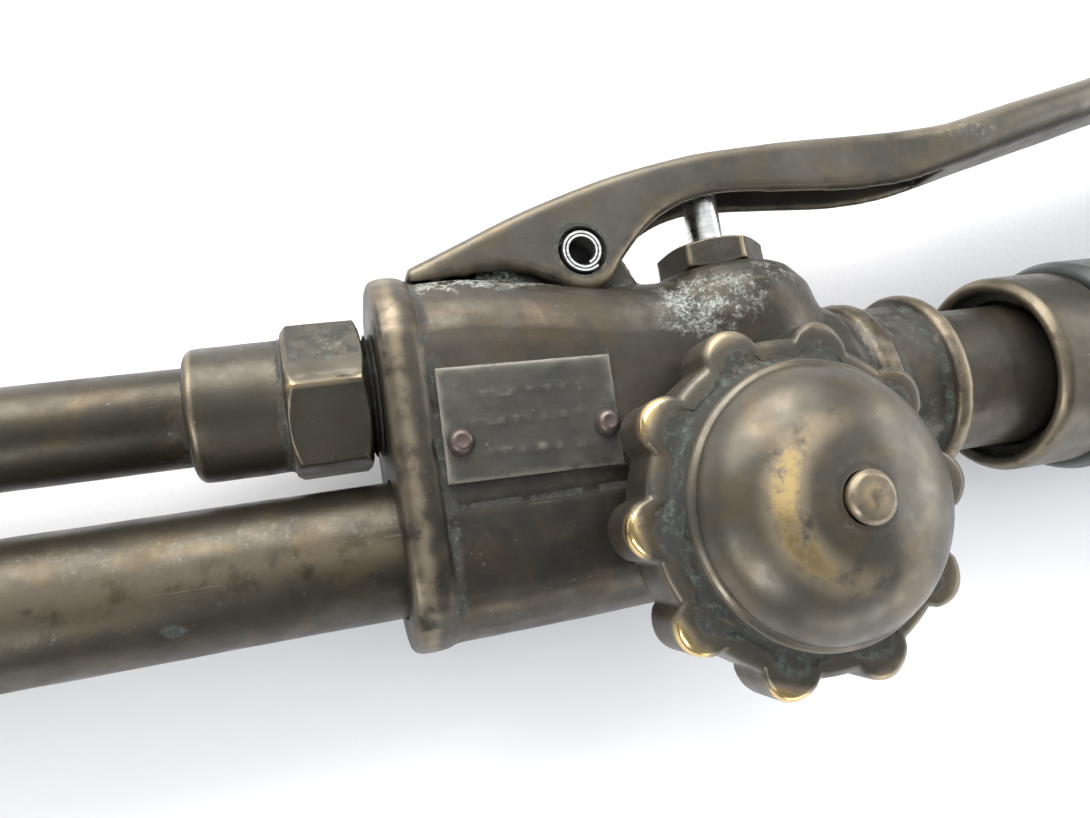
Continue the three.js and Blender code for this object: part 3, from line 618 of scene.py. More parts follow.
# Sections of the casting: x, top, bottom, half width.
BODY_SECTIONS = [
    (10, 18, -20, 9.5), (18, 16.9, -19.9, 9.5), (26, 15.6, -19.8, 9.5), (34, 15.6, -19.5, 9.5),
    (42, 14.6, -18.6, 9.6), (48, 12.2, -16, 9.9), (52, 10.6, -12, 10.2)]
SPIGOT = [(53.4, 10.2), (53.9, 10.9), (55.2, 11.1), (56.5, 10.9), (57, 10.2), (62.6, 10.2),
          (63.1, 11.3), (64.2, 11.5), (65.1, 11.2), (65.5, 8.95), (80, 8.95)]


def section(x, top, bottom, half, corner, steps=8):
    """A rounded rectangle across X."""
    corner = min(corner, half, (top - bottom) / 2)
    points = []
    for quarter, (side_y, side_z) in enumerate([(1, 1), (-1, 1), (-1, -1), (1, -1)]):
        centre = (top - corner if side_y > 0 else bottom + corner, side_z * (half - corner))
        for k in range(steps + 1):
            angle = (quarter + k / steps) * math.pi / 2
            points.append((x, centre[0] + corner * math.cos(angle),
                           centre[1] + corner * math.sin(angle)))
    return np.array(points)


def casting(growth=0.0):
    rings = [section(0, 17.6 + growth, -19.85 - growth, 9.2 + growth, 8.3 + growth)]
    for x in np.linspace(0.15, 4.3, 14):
        swell = 0.9 * math.sqrt(max(0, 1 - ((x - BEAD) / BEAD) ** 2)) + growth
        rings.append(section(x, 17.9 + swell, -20 - swell / 2, 9.5 + swell, 8.6 + swell))
    for x, top, bottom, half in BODY_SECTIONS:
        rings.append(section(x, top + growth, bottom - growth, half + growth, 8.6 + growth))
    for x, radius in SPIGOT:
        grown = radius + growth
        rings.append(section(x, grown, -grown, grown, grown))
    return capped(rings)


def bar(direction, at, radius, low, high, segments=48):
    return lathe(direction, at, [(0, low), (radius, low), (radius, high), (0, high)], segments)


def cheek_rooms():
    at = (PIVOT_X, PIVOT_Y, 0)
    return [solid(f"room_{i}", bar("out", at, 5.0, low, high))
            for i, (low, high) in enumerate([(2.6, 4.8), (-4.8, -2.6)])]


def build_body():
    lug = [(11.5, 8), (11.5, 17.4), (12.4, 18.6), (14, 19.5), (17, 20)]
    lug += [(PIVOT_X + 4.6 * math.cos(t), PIVOT_Y + 4.6 * math.sin(t))
            for t in np.linspace(0.8 * math.pi, 0.08 * math.pi, 16)]
    lug += [(29.6, 18), (31.4, 14), (31.4, 8)]
    plunger_boss = lathe("up", (VALVE_X, 0, 0), [
        (0, 0), (11.2, 0), (11.2, 9.5), (10.4, 13), (8.8, 15.2), (7.4, 16), (0, 16)])
    plug_boss = lathe("up", (VALVE_X, 0, 0), [
        (0, -20.6), (7.8, -20.6), (8.3, -20), (8.3, -10), (0, -10)])
    preheat_boss = lathe("out", (PREHEAT_X, PREHEAT_Y, 0), [
        (0, 4), (8.2, 4), (8.2, 12.7), (7.7, 13.2), (0, 13.2)])
    body = solid("valve_body_detail", casting(), prism(lug, -2.6, 2.6), plunger_boss, plug_boss,
                 preheat_boss)
    fuse(body, 0.36, 5)
    # the parting line of the two mould halves runs along the near side, under the plate
    push(body, lambda x, y, z: -0.14 * stripe(y + 6.6 + 0.012 * x, 0, 0.32)
         * (z > 5) * ramp(x, 4.5, 2) * ramp(x, 34, -4))
    dent(body, 0.11, 7.0, 2.0)
    dent(body, 0.035, 1.7, 5.0)
    bores = [
        lathe("up", (VALVE_X, 0, 0), [(0, -22), (5.5, -22), (5.5, -2), (4, -2), (4, 1.8),
                                      (2.4, 1.8), (2.4, 7.6), (5, 7.6), (5, 18), (0, 18)], 48),
        lathe("out", (PREHEAT_X, PREHEAT_Y, 0), [(0, 2), (1, 2), (1, 6.6), (3.2, 6.6), (3.2, 8.2),
                                                 (4.6, 8.2), (4.6, 15), (0, 15)], 48),
        bar("back", (0, LOWER_TUBE_Y, 0), 7.3, -2, 12),
        bar("back", (0, UPPER_TUBE_Y, 0), 3.4, -2, 14),
        bar("out", (PIVOT_X, PIVOT_Y, 0), PIVOT_HOLE, -6, 6),
        *(bar("back", (0, y, 0), 3.3, 75, 82) for y in (3.9, -3.9)),
    ]
    carve(body, [solid(f"bore_{i}", part) for i, part in enumerate(bores)] + cheek_rooms())

    def wear(x, y, z, worn):
        bead = stripe(x, 1.7, 0.8) * ramp(z, -4, 8)
        rings = stripe(x, 55.2, 0.9) + stripe(x, 64.2, 0.8)
        return 0.3 * worn + 0.3 * bead + 0.15 * rings

    # darkened places: grime in hollows and joints, and a painted shadow under the handwheel
    def grime(x, y, z, dirty):
        near = (z > 6)
        along, across = np.abs(x - 13.8) - 9.1, np.abs(y - 1.1) - 5.8
        frame_line = stripe(np.maximum(along, across), 0, 0.4) * near
        crease = stripe(y + 6.6 + 0.012 * x, 0, 0.3) * near * (x < 34) * (x > 4.5)
        behind_bead = stripe(x, 4.9, 0.8)
        neck = stripe(x, 60, 2.5) * spot(y, z, (6, 8), (5, 5))
        # painted shadow: the body's near side under the handwheel is darkened like crust
        wheel_shade = spot(x, y, (PREHEAT_X, PREHEAT_Y), (13, 13)) * near
        return (0.7 * dirty + 0.4 * frame_line + 0.5 * crease + 0.2 * behind_bead + 0.55 * neck
                + 0.4 * wheel_shade + spot(x, y, (32.4, 9.3), (1.5, 1.2)) * near)

    def dust(x, y, z):
        top = (ramp(y, 14.2, 2.0) * ramp(x, 3.5, 2)
               * ramp(x, 24, -9) * ramp(z, -2, 6))
        boss = spot(x, y, (35, 11), (5.4, 3.4)) * (z > 2)
        ledge = spot(x, y, (45, 14), (5, 2.5)) * (z > 0)
        side = spot(x, y, (58, -4), (5, 4)) * (z > 5)
        return 0.85 * top + 0.95 * boss + 0.45 * ledge + 0.3 * side

    ready(body, "valve_body", "torch", "body_patina", edge=0.05, nook=0.12, wear=wear,
          grime=grime, dust=dust)
    thread = [(0, -5), (5.6, -5)]
    for k in range(12):
        x = -4.8 + 0.55 * k
        thread += [(5.85, x), (6.5, x + 0.275)]
    thread += [(5.9, 1.9), (0, 1.9)]
    nipple = solid("body_nipple", lathe("back", (0, UPPER_TUBE_Y, 0), thread, 96))
    ready(nipple, None, "torch", "body_patina", sharp=70,
          grime=lambda x, y, z, dirty: np.full(len(x), 0.55))


def build_plate():
    length, height, turn = 17.9, 11.3, -0.026
    middle = np.array([13.8, 1.1])
    us = np.unique(np.concatenate([np.linspace(-0.5, 0.5, 73), [-0.487, 0.487]]))
    vs = np.unique(np.concatenate([np.linspace(-0.5, 0.5, 47), [-0.48, 0.48]]))
    cos, sin = math.cos(turn), math.sin(turn)

    def lift(u, v):
        rim = min(0.5 - abs(u), (0.5 - abs(v)) * height / length) * length
        edge = 0.14 * math.exp(-rim / 0.25)
        # blank raised bands, where a maker would stamp words
        bands = sum(math.exp(-((v - at) / 0.045) ** 4) for at in (0.24, 0.0, -0.27))
        bands *= 0.05 * max(0.0, 1 - (abs(u) / 0.4) ** 6)
        bands *= 0.6 + noise.noise(Vector((u * 14, v * 8, 7)))
        curl = 0.1 * max(0.0, abs(u) - 0.42) * (1 if u > 0 else -1)
        wave = 0.05 * noise.noise(Vector((u * 9, v * 6, 3)))
        return 10.26 - edge + bands + curl + wave

    points, faces = [], []
    for level in (1, 0):
        for v in vs:
            for u in us:
                px, py = u * length, v * height
                # nibbled edges
                grow = 1 - 0.006 * (noise.noise(Vector((px * 0.9, py * 0.9, level))) + 1)
                z = lift(u, v) if level else 9.62
                points.append((middle[0] + (px * cos - py * sin) * grow,
                               middle[1] + (px * sin + py * cos) * grow, z))
    wide, tall = len(us), len(vs)
    size = wide * tall
    for j in range(tall - 1):
        for i in range(wide - 1):
            a = j * wide + i
            faces.append((a, a + 1, a + 1 + wide, a + wide))
            faces.append((size + a + wide, size + a + 1 + wide, size + a + 1, size + a))
    border = (list(range(wide)) + [j * wide + wide - 1 for j in range(1, tall)]
              + [(tall - 1) * wide + i for i in range(wide - 2, -1, -1)]
              + [j * wide for j in range(tall - 2, 0, -1)])
    for a, b in zip(border, border[1:] + border[:1]):
        faces.append((a, size + a, size + b, b))
    plate = solid("name_plate_detail", (np.array(points), faces))
    ready(plate, "name_plate", "torch", "plate_metal", sharp=60, edge=0.03,
          wear=lambda x, y, z, worn: 0.4 * worn + 0.12,
          grime=lambda x, y, z, dirty: dirty + 0.5 * (z < 10.1) + 0.25 * spot(x, y, (18, 4), (6, 3)),
          dust=lambda x, y, z: 0.25 * spot(x, y, (8, 5), (4, 2)))
    for end, x in (("front", 6.5), ("rear", 21.4)):
        turned(f"plate_rivet_{end}", "torch", "fitting_patina", "out", (x, -0.45, 0), [
            (0, 7), (0.6, 7), (0.6, 10.3), (1.35, 10.3), (1.35, 10.55), (1.05, 11.1), (0.7, 11.3),
            (0.35, 11.22), (0, 11.2)], 48, bumps=0.03, radius=0.12, look="rivet_metal",
            grime=lambda x, y, z, dirty: 0.6 * (z < 10.5))


def build_tubes():
    turned("upper_tube", "torch", "body_patina", "back", (0, UPPER_TUBE_Y, 0), [
        (0, -211), (5, -211), (5, -8.7), (0, -8.7)], 72, bumps=0.05, longest=1.8, seed=4,
        look="tube_patina",
        wear=lambda x, y, z, worn: 0.2 * spot(x, z, (-60, 5), (14, 3)) + 0.1,
        grime=lambda x, y, z, dirty: 0.55 * spot(x, y, (-18, 3), (2.5, 9))
        + 0.5 * spot(x, y, (-75, 8), (6, 2)),
        dust=lambda x, y, z: 0.1 * (y > 8))

    def lower_grime(x, y, z, dirty):
        spots = [(-21, -13.5, 1.0), (-39, -12.0, 0.8), (-47, -14.2, 0.7), (-8, -14.6, 0.8),
                 (-90, -9, 1.5)]
        return sum(0.9 * spot(x, y, (a, b), (c, 0.6 * c)) for a, b, c in spots) * (z > 0) \
            + 0.5 * stripe(x, -0.4, 0.7)

    turned("lower_tube", "torch", "body_patina", "back", (0, LOWER_TUBE_Y, 0), [
        (0, -211), (7, -211), (7, 11.7), (0, 11.7)], 96, bumps=0.06, longest=1.8, seed=7,
        look="tube_patina",
        wear=lambda x, y, z, worn: 0.2 * spot(y, z, (-9.5, 7), (2.5, 3)) + 0.1,
        grime=lower_grime,
        dust=lambda x, y, z: 0.22 * spot(y, z, (-6, 6), (3, 4)))


def build_tube_nut():
    corner = math.pi / 2 - 0.077  # a corner leans this far from the side that faces the handwheel
    shape = hexagon(14.5, corner + math.pi / 6)
    profile = [(0, -18.3), (6.2, -18.3), (6.75, -17.7), (6.8, -16.5), (6.8, -9.4), (7.0, -9.0),
               (7.35, -9.0), (8.6, -8.2), (9.2, -7.6), (9.2, -2.4), (8.6, -1.8), (7.2, -1.2),
               (5.2, -1.2), (5.2, -6), (0, -6)]
    nut = solid("upper_tube_nut_detail", lathe("back", (0, UPPER_TUBE_Y, 0),
                                               rounded(profile, 0.3, 0.5), 180, shape))
    edge_y = UPPER_TUBE_Y + 8.3 * math.cos(corner)

    def nicks(x, y, z):
        cuts = 0
        for at, slope, depth in ((-6.6, 0.05, 0.28), (-4.2, 0.12, 0.2), (-3.2, 0.02, 0.12)):
            line = (y - edge_y - 0.35) - slope * (x - at)
            cuts = cuts - depth * stripe(line, 0, 0.28) * stripe(x, at, 1.5)
        return cuts * (z > 5)

    push(nut, nicks)
    dent(nut, 0.05, 3.0, 9.0)

    def wear(x, y, z, worn):
        skirt = stripe(x, -17.7, 0.5) * (0.5 + 0.5 * (z > 0))
        ridge = stripe(y, edge_y, 0.4) * (z > 5) * (x > -9) * (x < -1.5)
        shoulder = stripe(x, -8.8, 0.35)
        return 0.22 * worn + 0.3 * skirt + 0.42 * ridge + 0.12 * shoulder

    def grime(x, y, z, dirty):
        flat = np.clip((y - edge_y - 1) / 2, 0, 1) * (x > -8.5) * (x < -1.5)
        return dirty + 0.5 * flat + 0.5 * stripe(x, -9.5, 0.6)

    ready(nut, "upper_tube_nut", "torch", "fitting_patina", edge=0.05, wear=wear, grime=grime,
          dust=lambda x, y, z: 0.3 * spot(x, y, (-5, edge_y + 4), (2.5, 1.5)))


def crown(drop):
    """The lever's upper edge from nose to palm: two curves, as points."""
    curves = [((4.5, 19.1), (15, 23.4), (24, 28), (40, 30.4)),
              ((40, 30.4), (54, 32), (66, 31.6), (76, 32.8))]
    return [(x, y - drop) for x, y in bezier_run(curves)]


def bezier_run(curves, steps=24):
    points = []
    for curve in curves:
        a, b, c, d = (np.array(p, float) for p in curve)
        for t in np.linspace(0, 1, steps):
            points.append(tuple(a * (1 - t) ** 3 + 3 * b * t * (1 - t) ** 2
                                + 3 * c * t * t * (1 - t) + d * t ** 3))
    return points


def build_lever():
    tip, palm, cheek = 168.0, 6.2, 4.5
    top = crown(0) + [(112, 41)] + bezier_run([((112, 41), (132, 45.6), (150, 46.4), (165, 45)),
                                               ((165, 45), (166.6, 44.8), (168, 44.4), (168, 42.4))])
    arc = [(PIVOT_X + 4.6 * math.cos(t), PIVOT_Y + 4.6 * math.sin(t))
           for t in np.linspace(-0.72 * math.pi, -0.14 * math.pi, 20)]
    bottom = ([(4.5, 16.6), (12, 18.1), (15.5, 18.1), (18, 17.5)] + arc
              + bezier_run([((28.2, 17.5), (31, 20.5), (34, 24.6), (42, 25.4)),
                            ((42, 25.4), (52, 25.8), (62, 23.8), (72, 26.2))])
              + [(112, 36)] + bezier_run([((112, 36), (132, 40.8), (150, 41.4), (165, 40.4)),
                                          ((165, 40.4), (166.6, 40.3), (168, 40.6), (168, 42.2))]))
    top, bottom = np.array(top), np.array(bottom)
    rings = []
    for x in np.concatenate([np.arange(4.5, 165, 0.5), np.arange(165, 167.9, 0.25), [167.95]]):
        high, low = np.interp(x, *top.T), np.interp(x, *bottom.T)
        spread = ramp(x, 62, 24)
        half = cheek + (palm - cheek) * ease(spread)
        if x > tip - palm:
            half = math.sqrt(max(0.05, palm ** 2 - (x - tip + palm) ** 2))
        rings.append(section(x, high, low, half, 1.3 + 1.6 * spread))
    lever = solid("lever_detail", capped(rings))
    channel = [(0.5, 5), (0.5, 15.5), *crown(2.0), (70, 5)]
    saddle = solid("saddle", casting(0.3))
    carve(saddle, cheek_rooms())
    carve(lever, [solid("channel", prism(channel, -2.9, 2.9)), saddle])
    fuse(lever, 0.34, 4)
    carve(lever, [solid("pin_hole", bar("out", (PIVOT_X, PIVOT_Y, 0), PIVOT_HOLE, -9, 9))])
    dent(lever, 0.09, 9.0, 11.0)

    def wear(x, y, z, worn):
        pivot = spot(x, y, (25, 15.5), (5, 2.2)) * (z > 3)
        band = spot(y, z, (0, 3.5), (99, 2.5)) * ramp(x, 66, 8) \
            * (y > np.interp(x, *top.T) - 1.6)
        return 0.28 * worn + 0.22 * pivot + 0.25 * band + 0.08

    def grime(x, y, z, dirty):
        ring = np.exp(-((np.hypot(x - PIVOT_X, y - PIVOT_Y) - 2.9) / 0.4) ** 2)
        nose = spot(x, y, (5, 17.5), (2.5, 1.2))
        pale_green = spot(x, y, (22, 22.5), (2.5, 1.2)) + spot(x, y, (88, 33), (5, 2))
        return 0.6 * dirty + 0.8 * ring + 0.5 * nose + 0.35 * pale_green

    ready(lever, "lever", "lever", "lever_patina", edge=0.05, nook=0.14, wear=wear, grime=grime,
          dust=lambda x, y, z: 0.35 * spot(x, y, (78, 31), (8, 1.5))
          + 0.2 * spot(x, y, (6, 19), (3, 1)))


def build_pin():
    """A coiled spring pin: one strip of steel rolled twice round."""
    inner, outer, sheet, turns = 1.35, 2.5, 0.3, 2.05
    pitch = (outer - inner - sheet) / turns
    sweep = np.linspace(0, turns * 2 * math.pi, 180)
    start = -0.9 - turns * 2 * math.pi
    outside = inner + sheet + pitch * sweep / (2 * math.pi)
    circle = np.stack([np.cos(sweep + start), np.sin(sweep + start)], 1)
    outline = np.concatenate([outside[:, None] * circle,
                              ((outside - sheet)[:, None] * circle)[::-1]])
    rings = []
    middle = (outside - sheet / 2)[:, None] * circle
    spine = np.concatenate([middle, middle[::-1]])
    for inset, z in ((0.3, -4.7), (0.1, -4.66), (0, -4.55), (0, 4.55), (0.1, 4.66), (0.3, 4.7)):
        ring = outline + (spine - outline) * inset
        rings.append(np.column_stack([ring[:, 0] + PIVOT_X, ring[:, 1] + PIVOT_Y,
                                      np.full(len(ring), z)]))
    points, faces = skin(rings)
    n = len(outline)
    last = (len(rings) - 1) * n
    half = n // 2
    for k in range(half - 1):
        faces.append((k, n - 1 - k, n - 2 - k, k + 1))
        faces.append((last + k + 1, last + n - 2 - k, last + n - 1 - k, last + k))
    pin = solid("lever_pin_detail", (points, faces))
    # the pin's sides, inside the pivot hole, are painted near-black: painted shade in the hole
    ready(pin, "lever_pin", "lever", "bright_steel", sharp=40,
          wear=lambda x, y, z, worn: np.zeros_like(z), grime=lambda x, y, z, dirty: np.abs(z) < 4.56)


def build_plunger():
    turned("plunger", "plunger", "bright_steel", "up", (VALVE_X, 0, 0), [
        (0, -10.4), (1.9, -10.4), (1.9, -8.6), (4.3, -8.6), (4.3, -7.2), (1.2, -7.2), (1.2, 1.2),
        (2.05, 1.8), (2.05, 27), (1.4, 27.9), (0, 28.2)], 64, bumps=0, longest=1.0)
    nut = [(4.7, 10.9), (4.7, 16.3), (5.3, 16.3), (6.5, 16.8), (6.9, 17.4), (6.9, 18.6),
           (6.5, 19.1), (5.2, 19.6), (3.2, 19.6), (2.5, 19.2), (2.4, 18.8), (2.4, 10.9),
           (4.7, 10.9)]
    turned("gland_nut", "torch", "fitting_patina", "up", (VALVE_X, 0, 0), nut, 144,
           hexagon(11, 0.2 + math.pi / 6, above=5),
           bumps=0.06, longest=0.6, seed=3, wear=lambda x, y, z, worn: 0.5 * worn + 0.05,
           grime=lambda x, y, z, dirty: dirty + 0.35,
           dust=lambda x, y, z: 0.12 * (y > 18))


LOBES = 10
PREHEAT_TIP, PREHEAT_HEIGHT = 18.05, 16.2
FUEL_TIP, FUEL_HEIGHT = 12.9, 12
SINK = 1.4  # a wheel's back plane lies this far behind the face of its boss


def wheel_shape(tip, valley):
    """The rim's lobed outline: round lobes with flat hollows between them."""
    def rim(angle):
        wave = np.cos(LOBES * angle)
        lobe = ramp(wave, -0.35, 1.35)
        foot = np.clip(lobe / 0.3, 0, 1)
        return valley + (tip - valley) * lobe ** 0.7 * ease(foot)
    return rim


def build_wheel(prefix, direction, at, tip, valley, rim_height, dome, height):
    """A lobed handwheel, hollow behind, with a ringed dome over its hub."""
    rim = wheel_shape(tip, valley)
    skirt = height * 0.586
    k = tip / PREHEAT_TIP
    base = [  # radius, distance from the back plane, and how much of the lobes shows
        (2.35, height - 0.1, 0), (2.35, 5.8, 0), (3.9, 5.8, 0), (3.9, height - 3.4, 0),
        (dome * 0.7, height - 5.2, 0), (dome * 0.85, skirt - 1, 0), (dome * 0.86, 1.0, 0),
        (dome * 0.9, 0.35, 0), (dome * 0.95, 0, 0.2), (tip - 1.6, 0, 1), (tip - 0.9, 0.1, 1),
        (tip - 0.35, 0.45, 1), (tip - 0.08, 0.9, 1), (tip, 1.5, 1)]
    for t in np.linspace(0.3, 0.8, 6):
        base.append((tip, rim_height * t, 1))
    for t in np.linspace(0, math.pi / 2, 7):
        base.append((tip - 1.0 * k + 1.0 * k * math.cos(t),
                     rim_height - 0.9 * k + 0.9 * k * math.sin(t), 1))
    base += [(tip - 1.6 * k, rim_height + 0.02, 1), (tip - 2.4 * k, rim_height, 0.85),
             (dome + 1.7 * k, rim_height - 0.06, 0.3), (dome + 0.9 * k, rim_height - 0.1, 0),
             (dome + 0.35 * k, rim_height + 0.05, 0), (dome + 0.1 * k, rim_height + 0.35, 0),
             (dome, rim_height + 0.9, 0), (dome, skirt - 0.7, 0), (dome + 0.02, skirt - 0.25, 0),
             (dome - 0.02, skirt + 0.1, 0), (dome - 0.2 * k, skirt + 0.33, 0),
             (dome - 0.45 * k, skirt + 0.42, 0), (dome - 0.62 * k, skirt + 0.62, 0)]
    cap, rise = dome - 0.5 * k, height - skirt
    for t in np.linspace(0.12, 1.32, 26):
        base.append((cap * math.cos(t), skirt + rise * math.sin(t), 0))
    base += [(2.9, height - 0.16, 0), (2.6, height - 0.2, 0), (2.35, height - 0.1, 0)]

    along, u, v = (np.array(w, float) for w in ROUND[direction])
    angle = np.linspace(0, 2 * math.pi, 360, endpoint=False)
    rings = []
    for radius, distance, lobed in base:
        reach = radius + lobed * (rim(angle) - tip)
        rings.append(np.array(at, float) + along * distance
                     + np.outer(reach * np.cos(angle), u) + np.outer(reach * np.sin(angle), v))
    wheel = solid(f"{prefix}_handwheel_detail", skin(rings))
    dent(wheel, 0.1, 5.0, 13.0)

    def local(x, y, z):
        offset = np.stack([x, y, z]) - np.array(at, float)[:, None]
        a, b, c = u @ offset, v @ offset, along @ offset
        return np.hypot(a, b), np.arctan2(b, a), c

    def wear(x, y, z, worn):
        radius, turn, distance = local(x, y, z)
        on_lobe = np.clip(0.5 + 0.9 * np.cos(LOBES * turn), 0, 1)
        outer = np.clip((radius - (tip - 2.0 * k)) / (1.2 * k), 0, 1)
        edge = outer * on_lobe * np.exp(-((distance - rim_height + 0.25) / (1.0 * k)) ** 2)
        # lobe edges rubbed to brass all round, and brighter on the side towards the key light: that side
        # is a painted highlight
        highlight_side = 0.55 + 0.45 * np.cos(turn - math.radians(200))
        lip = np.exp(-((radius - dome + 0.1) / 0.35) ** 2) * (distance > skirt - 0.8)
        arc = (stripe(radius, 7.0 * k, 1.7 * k)
               * np.clip(1.25 - np.abs((turn - math.radians(185) + math.pi) % (2 * math.pi)
                                       - math.pi) / math.radians(100), 0, 1))
        arc = arc * (distance > skirt)
        return 0.08 * worn + 0.85 * edge * highlight_side + 0.1 * lip + 0.82 * arc + 0.05

    def grime(x, y, z, dirty):
        radius, turn, distance = local(x, y, z)
        annulus = (np.clip((radius - dome + 0.2) / 0.5, 0, 1)
                   * np.clip((tip - 2.6 * k + 0.9 * k * np.cos(LOBES * turn) - radius) / (1.0 * k), 0, 1)
                   * (distance > rim_height - 0.8))
        wall = np.exp(-((radius - dome - 0.1) / 0.4) ** 2) * (distance < skirt - 0.4) \
            * (distance > rim_height - 0.5)
        nub = stripe(radius, 3.0, 1.2) * (distance > height - 1.5)
        return 0.35 * dirty + 0.72 * annulus + 0.6 * wall + 0.42 * nub

    ready(wheel, f"{prefix}_handwheel", f"{prefix}_wheel", "wheel_patina", edge=0.1, sharp=60,
          wear=wear, grime=grime)


def build_needle(prefix, direction, face, wheel_height):
    """A gland nut and a spindle. The spindle's peened end stands in the middle of the wheel."""
    turned(f"{prefix}_gland_nut", "torch", "fitting_patina", direction, face, [
        (4.25, -2.8), (4.25, 0.3), (5.6, 0.3), (7.2, 0.9), (7.2, 3.2), (5.6, 3.8), (2.35, 3.8),
        (2.35, -2.8), (4.25, -2.8)], 96,
        hexagon(12, 0, above=5),
        longest=0.8)
    top = wheel_height - SINK + 0.3
    turned(f"{prefix}_spindle", f"{prefix}_spindle", "brass", direction, face, [
        (0, -7.6), (0.8, -6.6), (1.6, -5.6), (2, -5), (2, top), (2.35, top), (2.35, top + 0.45),
        (1.9, top + 0.85), (0.8, top + 1.0), (0, top + 0.97)], 64, bumps=0.04, radius=0.2,
        look="wheel_patina",
        wear=lambda x, y, z, worn: 0.5 * worn + 0.28,
        grime=lambda x, y, z, dirty: 0.2 * dirty)


def build_handle():
    turned("handle_collar", "torch", "fitting_patina", "back", (0, 0, 0), [
        (9.25, 79.2), (10.6, 78.6), (10.6, 77.2), (11.6, 76.6), (12.4, 77.6), (12.4, 86.2),
        (9.9, 86.2), (9.9, 93), (8.2, 93), (8.2, 80.5), (9.25, 80.5), (9.25, 79.2)], 128,
        bumps=0.05, longest=1.0, radius=0.5, seed=6,
        wear=lambda x, y, z, worn: 0.15 * worn + 0.22 * stripe(x, 77, 0.5) + 0.1,
        grime=lambda x, y, z, dirty: dirty + 0.5 * (np.hypot(y, z) < 10.8) * (x < 80)
        + 0.35 * stripe(x, 86, 0.5))
    turned("grip", "torch", "grip_paint", "back", (0, 0, 0), [
        (10.2, 86.5), (13, 86.5), (13.7, 87.9), (13.7, 188.6), (13, 190), (10.2, 190),
        (10.2, 86.5)], 128, bumps=0.06, longest=2.0, radius=0.5, seed=8,
        wear=lambda x, y, z, worn: 0.3 * (stripe(x, 87, 0.8)
                                          + stripe(x, 189.5, 0.8)))
    turned("rear_ferrule", "torch", "fitting_patina", "back", (0, 0, 0), [
        (8.2, 184), (9.9, 184), (9.9, 190.3), (12.4, 190.3), (12.4, 198.4), (11.6, 200.3),
        (8.2, 200.3), (8.2, 184)], 128, bumps=0.05, longest=1.0, radius=0.5, seed=10)


def build_head():
    drum = lathe("up", (HEAD_X, 0, 0), rounded([
        (0, -33), (10.4, -33), (10.4, -26.7), (12.7, -26.7), (13.5, -25.9), (13.5, 11), (10, 15),
        (5, 16), (0, 16)], 0.8, 2))
    shank = capped([section(HEAD_X, 13.6, -18.6, 9, 8), section(-202.8, 13.6, -18.6, 9, 8),
                    section(-202, 12.8, -17.8, 8.2, 7.2)])
    head = solid("head_block_detail", drum, shank)
    fuse(head, 0.45, 5)
    dent(head, 0.12, 8.0, 15.0)
    carve(head, [solid("socket_upper", bar("back", (0, UPPER_TUBE_Y, 0), 5.2, -212, -200)),
                 solid("socket_lower", bar("back", (0, LOWER_TUBE_Y, 0), 7.2, -212, -200))])
    ready(head, "head_block", "torch", "body_patina", nook=0.12)
    turned("nozzle_nut", "torch", "fitting_patina", "up", (HEAD_X, 0, 0), [
        (10.75, -27), (13.6, -27), (15.9, -28), (15.9, -42), (13.6, -43), (8.4, -43), (8.4, -37),
        (10.75, -37), (10.75, -27)], 180,
        hexagon(27, 0, above=11),
        longest=1.2, bumps=0.08)
    turned("heating_nozzle", "torch", "copper", "up", (HEAD_X, 0, 0), [
        (4.5, -33.3), (4.5, -52), (3.5, -80), (3.5, -88), (5.2, -88), (5.8, -87.2), (8, -50),
        (8, -36.7), (10.3, -36.7), (10.3, -33.3), (4.5, -33.3)], 96, longest=1.5)
    turned("cutting_nozzle", "torch", "brass", "up", (HEAD_X, 0, 0), [
        (1, -33.6), (1, -87), (2.2, -87), (2.8, -78), (3.6, -52), (4.1, -46), (4.1, -33.6),
        (1, -33.6)], 64)


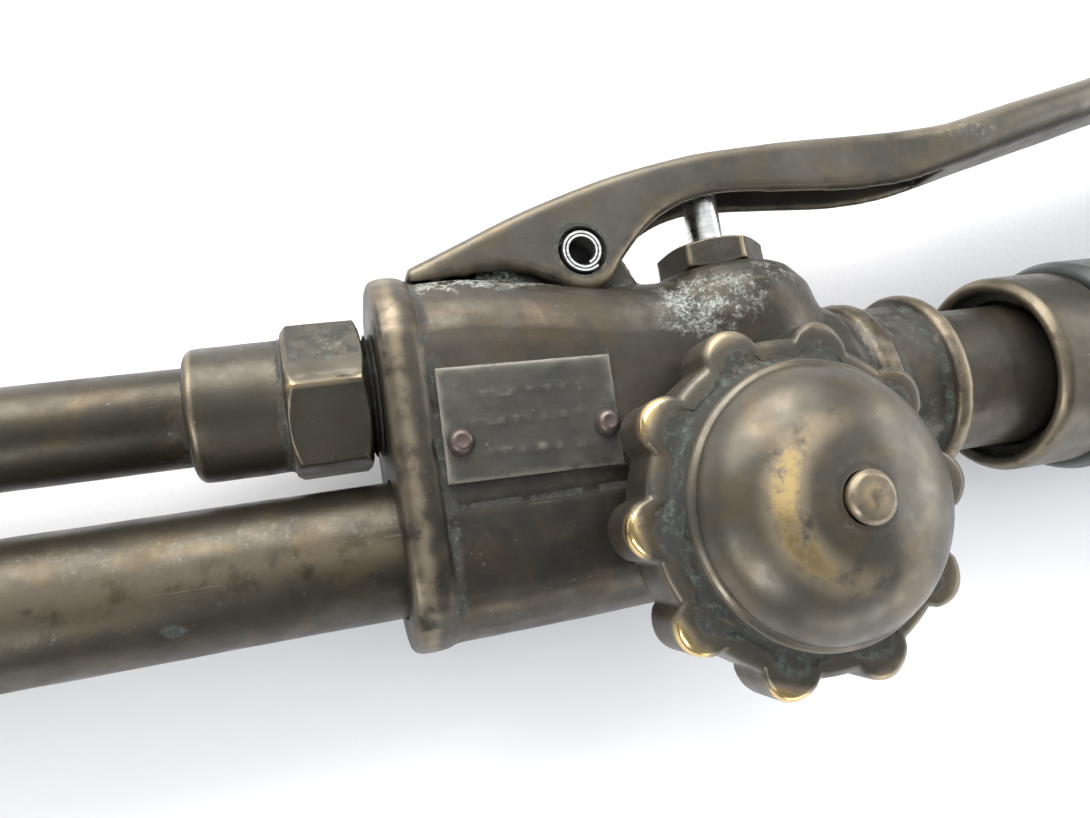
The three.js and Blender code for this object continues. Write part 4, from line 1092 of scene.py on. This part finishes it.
def build_rear():
    def outline(x, less):
        return section(x, 19 - less, less - 19, 9 - less, 7 - less)
    block = capped([outline(200.6, 1.2), outline(201.8, 0), outline(222.8, 0), outline(224, 1.2)])
    boss = lathe("down", (FUEL_X, 0, 0), [(0, 12), (7.6, 12), (7.6, 20.9), (7, 21.5), (0, 21.5)])
    inlets = [lathe("back", (0, y, 0), [(0, 220), (6.3, 220), (6.3, 231.5), (5.8, 232), (0, 232)])
              for y in (11, -11)]
    rear = solid("inlet_block_detail", block, boss, *inlets)
    fuse(rear, 0.4, 4)
    dent(rear, 0.1, 7.0, 17.0)
    carve(rear, [
        solid("needle_bore", lathe("down", (FUEL_X, -FUEL_FACE, 0), [
            (0, -17), (1, -17), (1, -6.6), (3.2, -6.6), (3.2, -5), (4.6, -5), (4.6, 2), (0, 2)])),
        *(solid(f"pipe_bore_{i}", bar("back", (0, y, 0), 3.3, 199, 205))
          for i, y in enumerate((3.9, -3.9)))])
    ready(rear, "inlet_block", "torch", "body_patina", nook=0.12)
    for gas, y in (("oxygen", 11), ("fuel", -11)):
        turned(f"{gas}_hose_nut", "torch", "brass", "back", (0, y, 0), [
            (6.65, 224.3), (8.6, 224.3), (10, 225), (10, 236.2), (8.6, 237), (4.75, 237),
            (4.75, 234.5), (6.65, 234.5), (6.65, 224.3)], 144,
            hexagon(17, math.pi / 6, above=7),
            longest=1.0, bumps=0.05, seed=y)
        tail = [(1.9, 232.3), (6.2, 232.3), (6.2, 234.2), (3.8, 234.2), (3.8, 241)]
        for start in (241, 247, 253):
            tail += [(4.4, start), (3.4, start + 5)]
        tail += [(3.4, 261), (1.9, 261), (1.9, 232.3)]
        turned(f"{gas}_hose_tail", "torch", "brass", "back", (0, y, 0), tail, 72, radius=0.25,
               longest=1.5)
    turned("valve_plug", "torch", "fitting_patina", "up", (VALVE_X, 0, 0), [
        (0, -24.9), (6.4, -24.9), (7.6, -24.3), (7.6, -21.4), (6.4, -20.9), (5.15, -20.9),
        (5.15, -15.6), (4.2, -15.6), (4.2, -19.5), (0, -19.5)], 144,
        hexagon(13, 0.3 + math.pi / 6, above=6),
        longest=0.8)


add_camera()
add_surroundings()
build_body()
build_plate()
build_tubes()
build_tube_nut()
build_lever()
build_pin()
build_plunger()
build_wheel("preheat", "out", (PREHEAT_X, PREHEAT_Y, PREHEAT_FACE - SINK), PREHEAT_TIP,
            valley=15.95, rim_height=7.1, dome=13.3, height=PREHEAT_HEIGHT)
build_wheel("fuel", "down", (FUEL_X, -FUEL_FACE + SINK, 0), FUEL_TIP,
            valley=11.4, rim_height=5, dome=9.6, height=FUEL_HEIGHT)
build_needle("preheat", "out", (PREHEAT_X, PREHEAT_Y, PREHEAT_FACE), PREHEAT_HEIGHT)
build_needle("fuel", "down", (FUEL_X, -FUEL_FACE, 0), FUEL_HEIGHT)
build_handle()
build_head()
build_rear()

# CAD pieces take the same materials, and those inside the torch keep their CAD shapes.
for subpart in frame["record"]["subparts"]:
    kept = frame["nodes"][subpart["node"]]
    for material_slot in kept.material_slots:
        material_slot.material = LOOKS[subpart["material_slot"]]
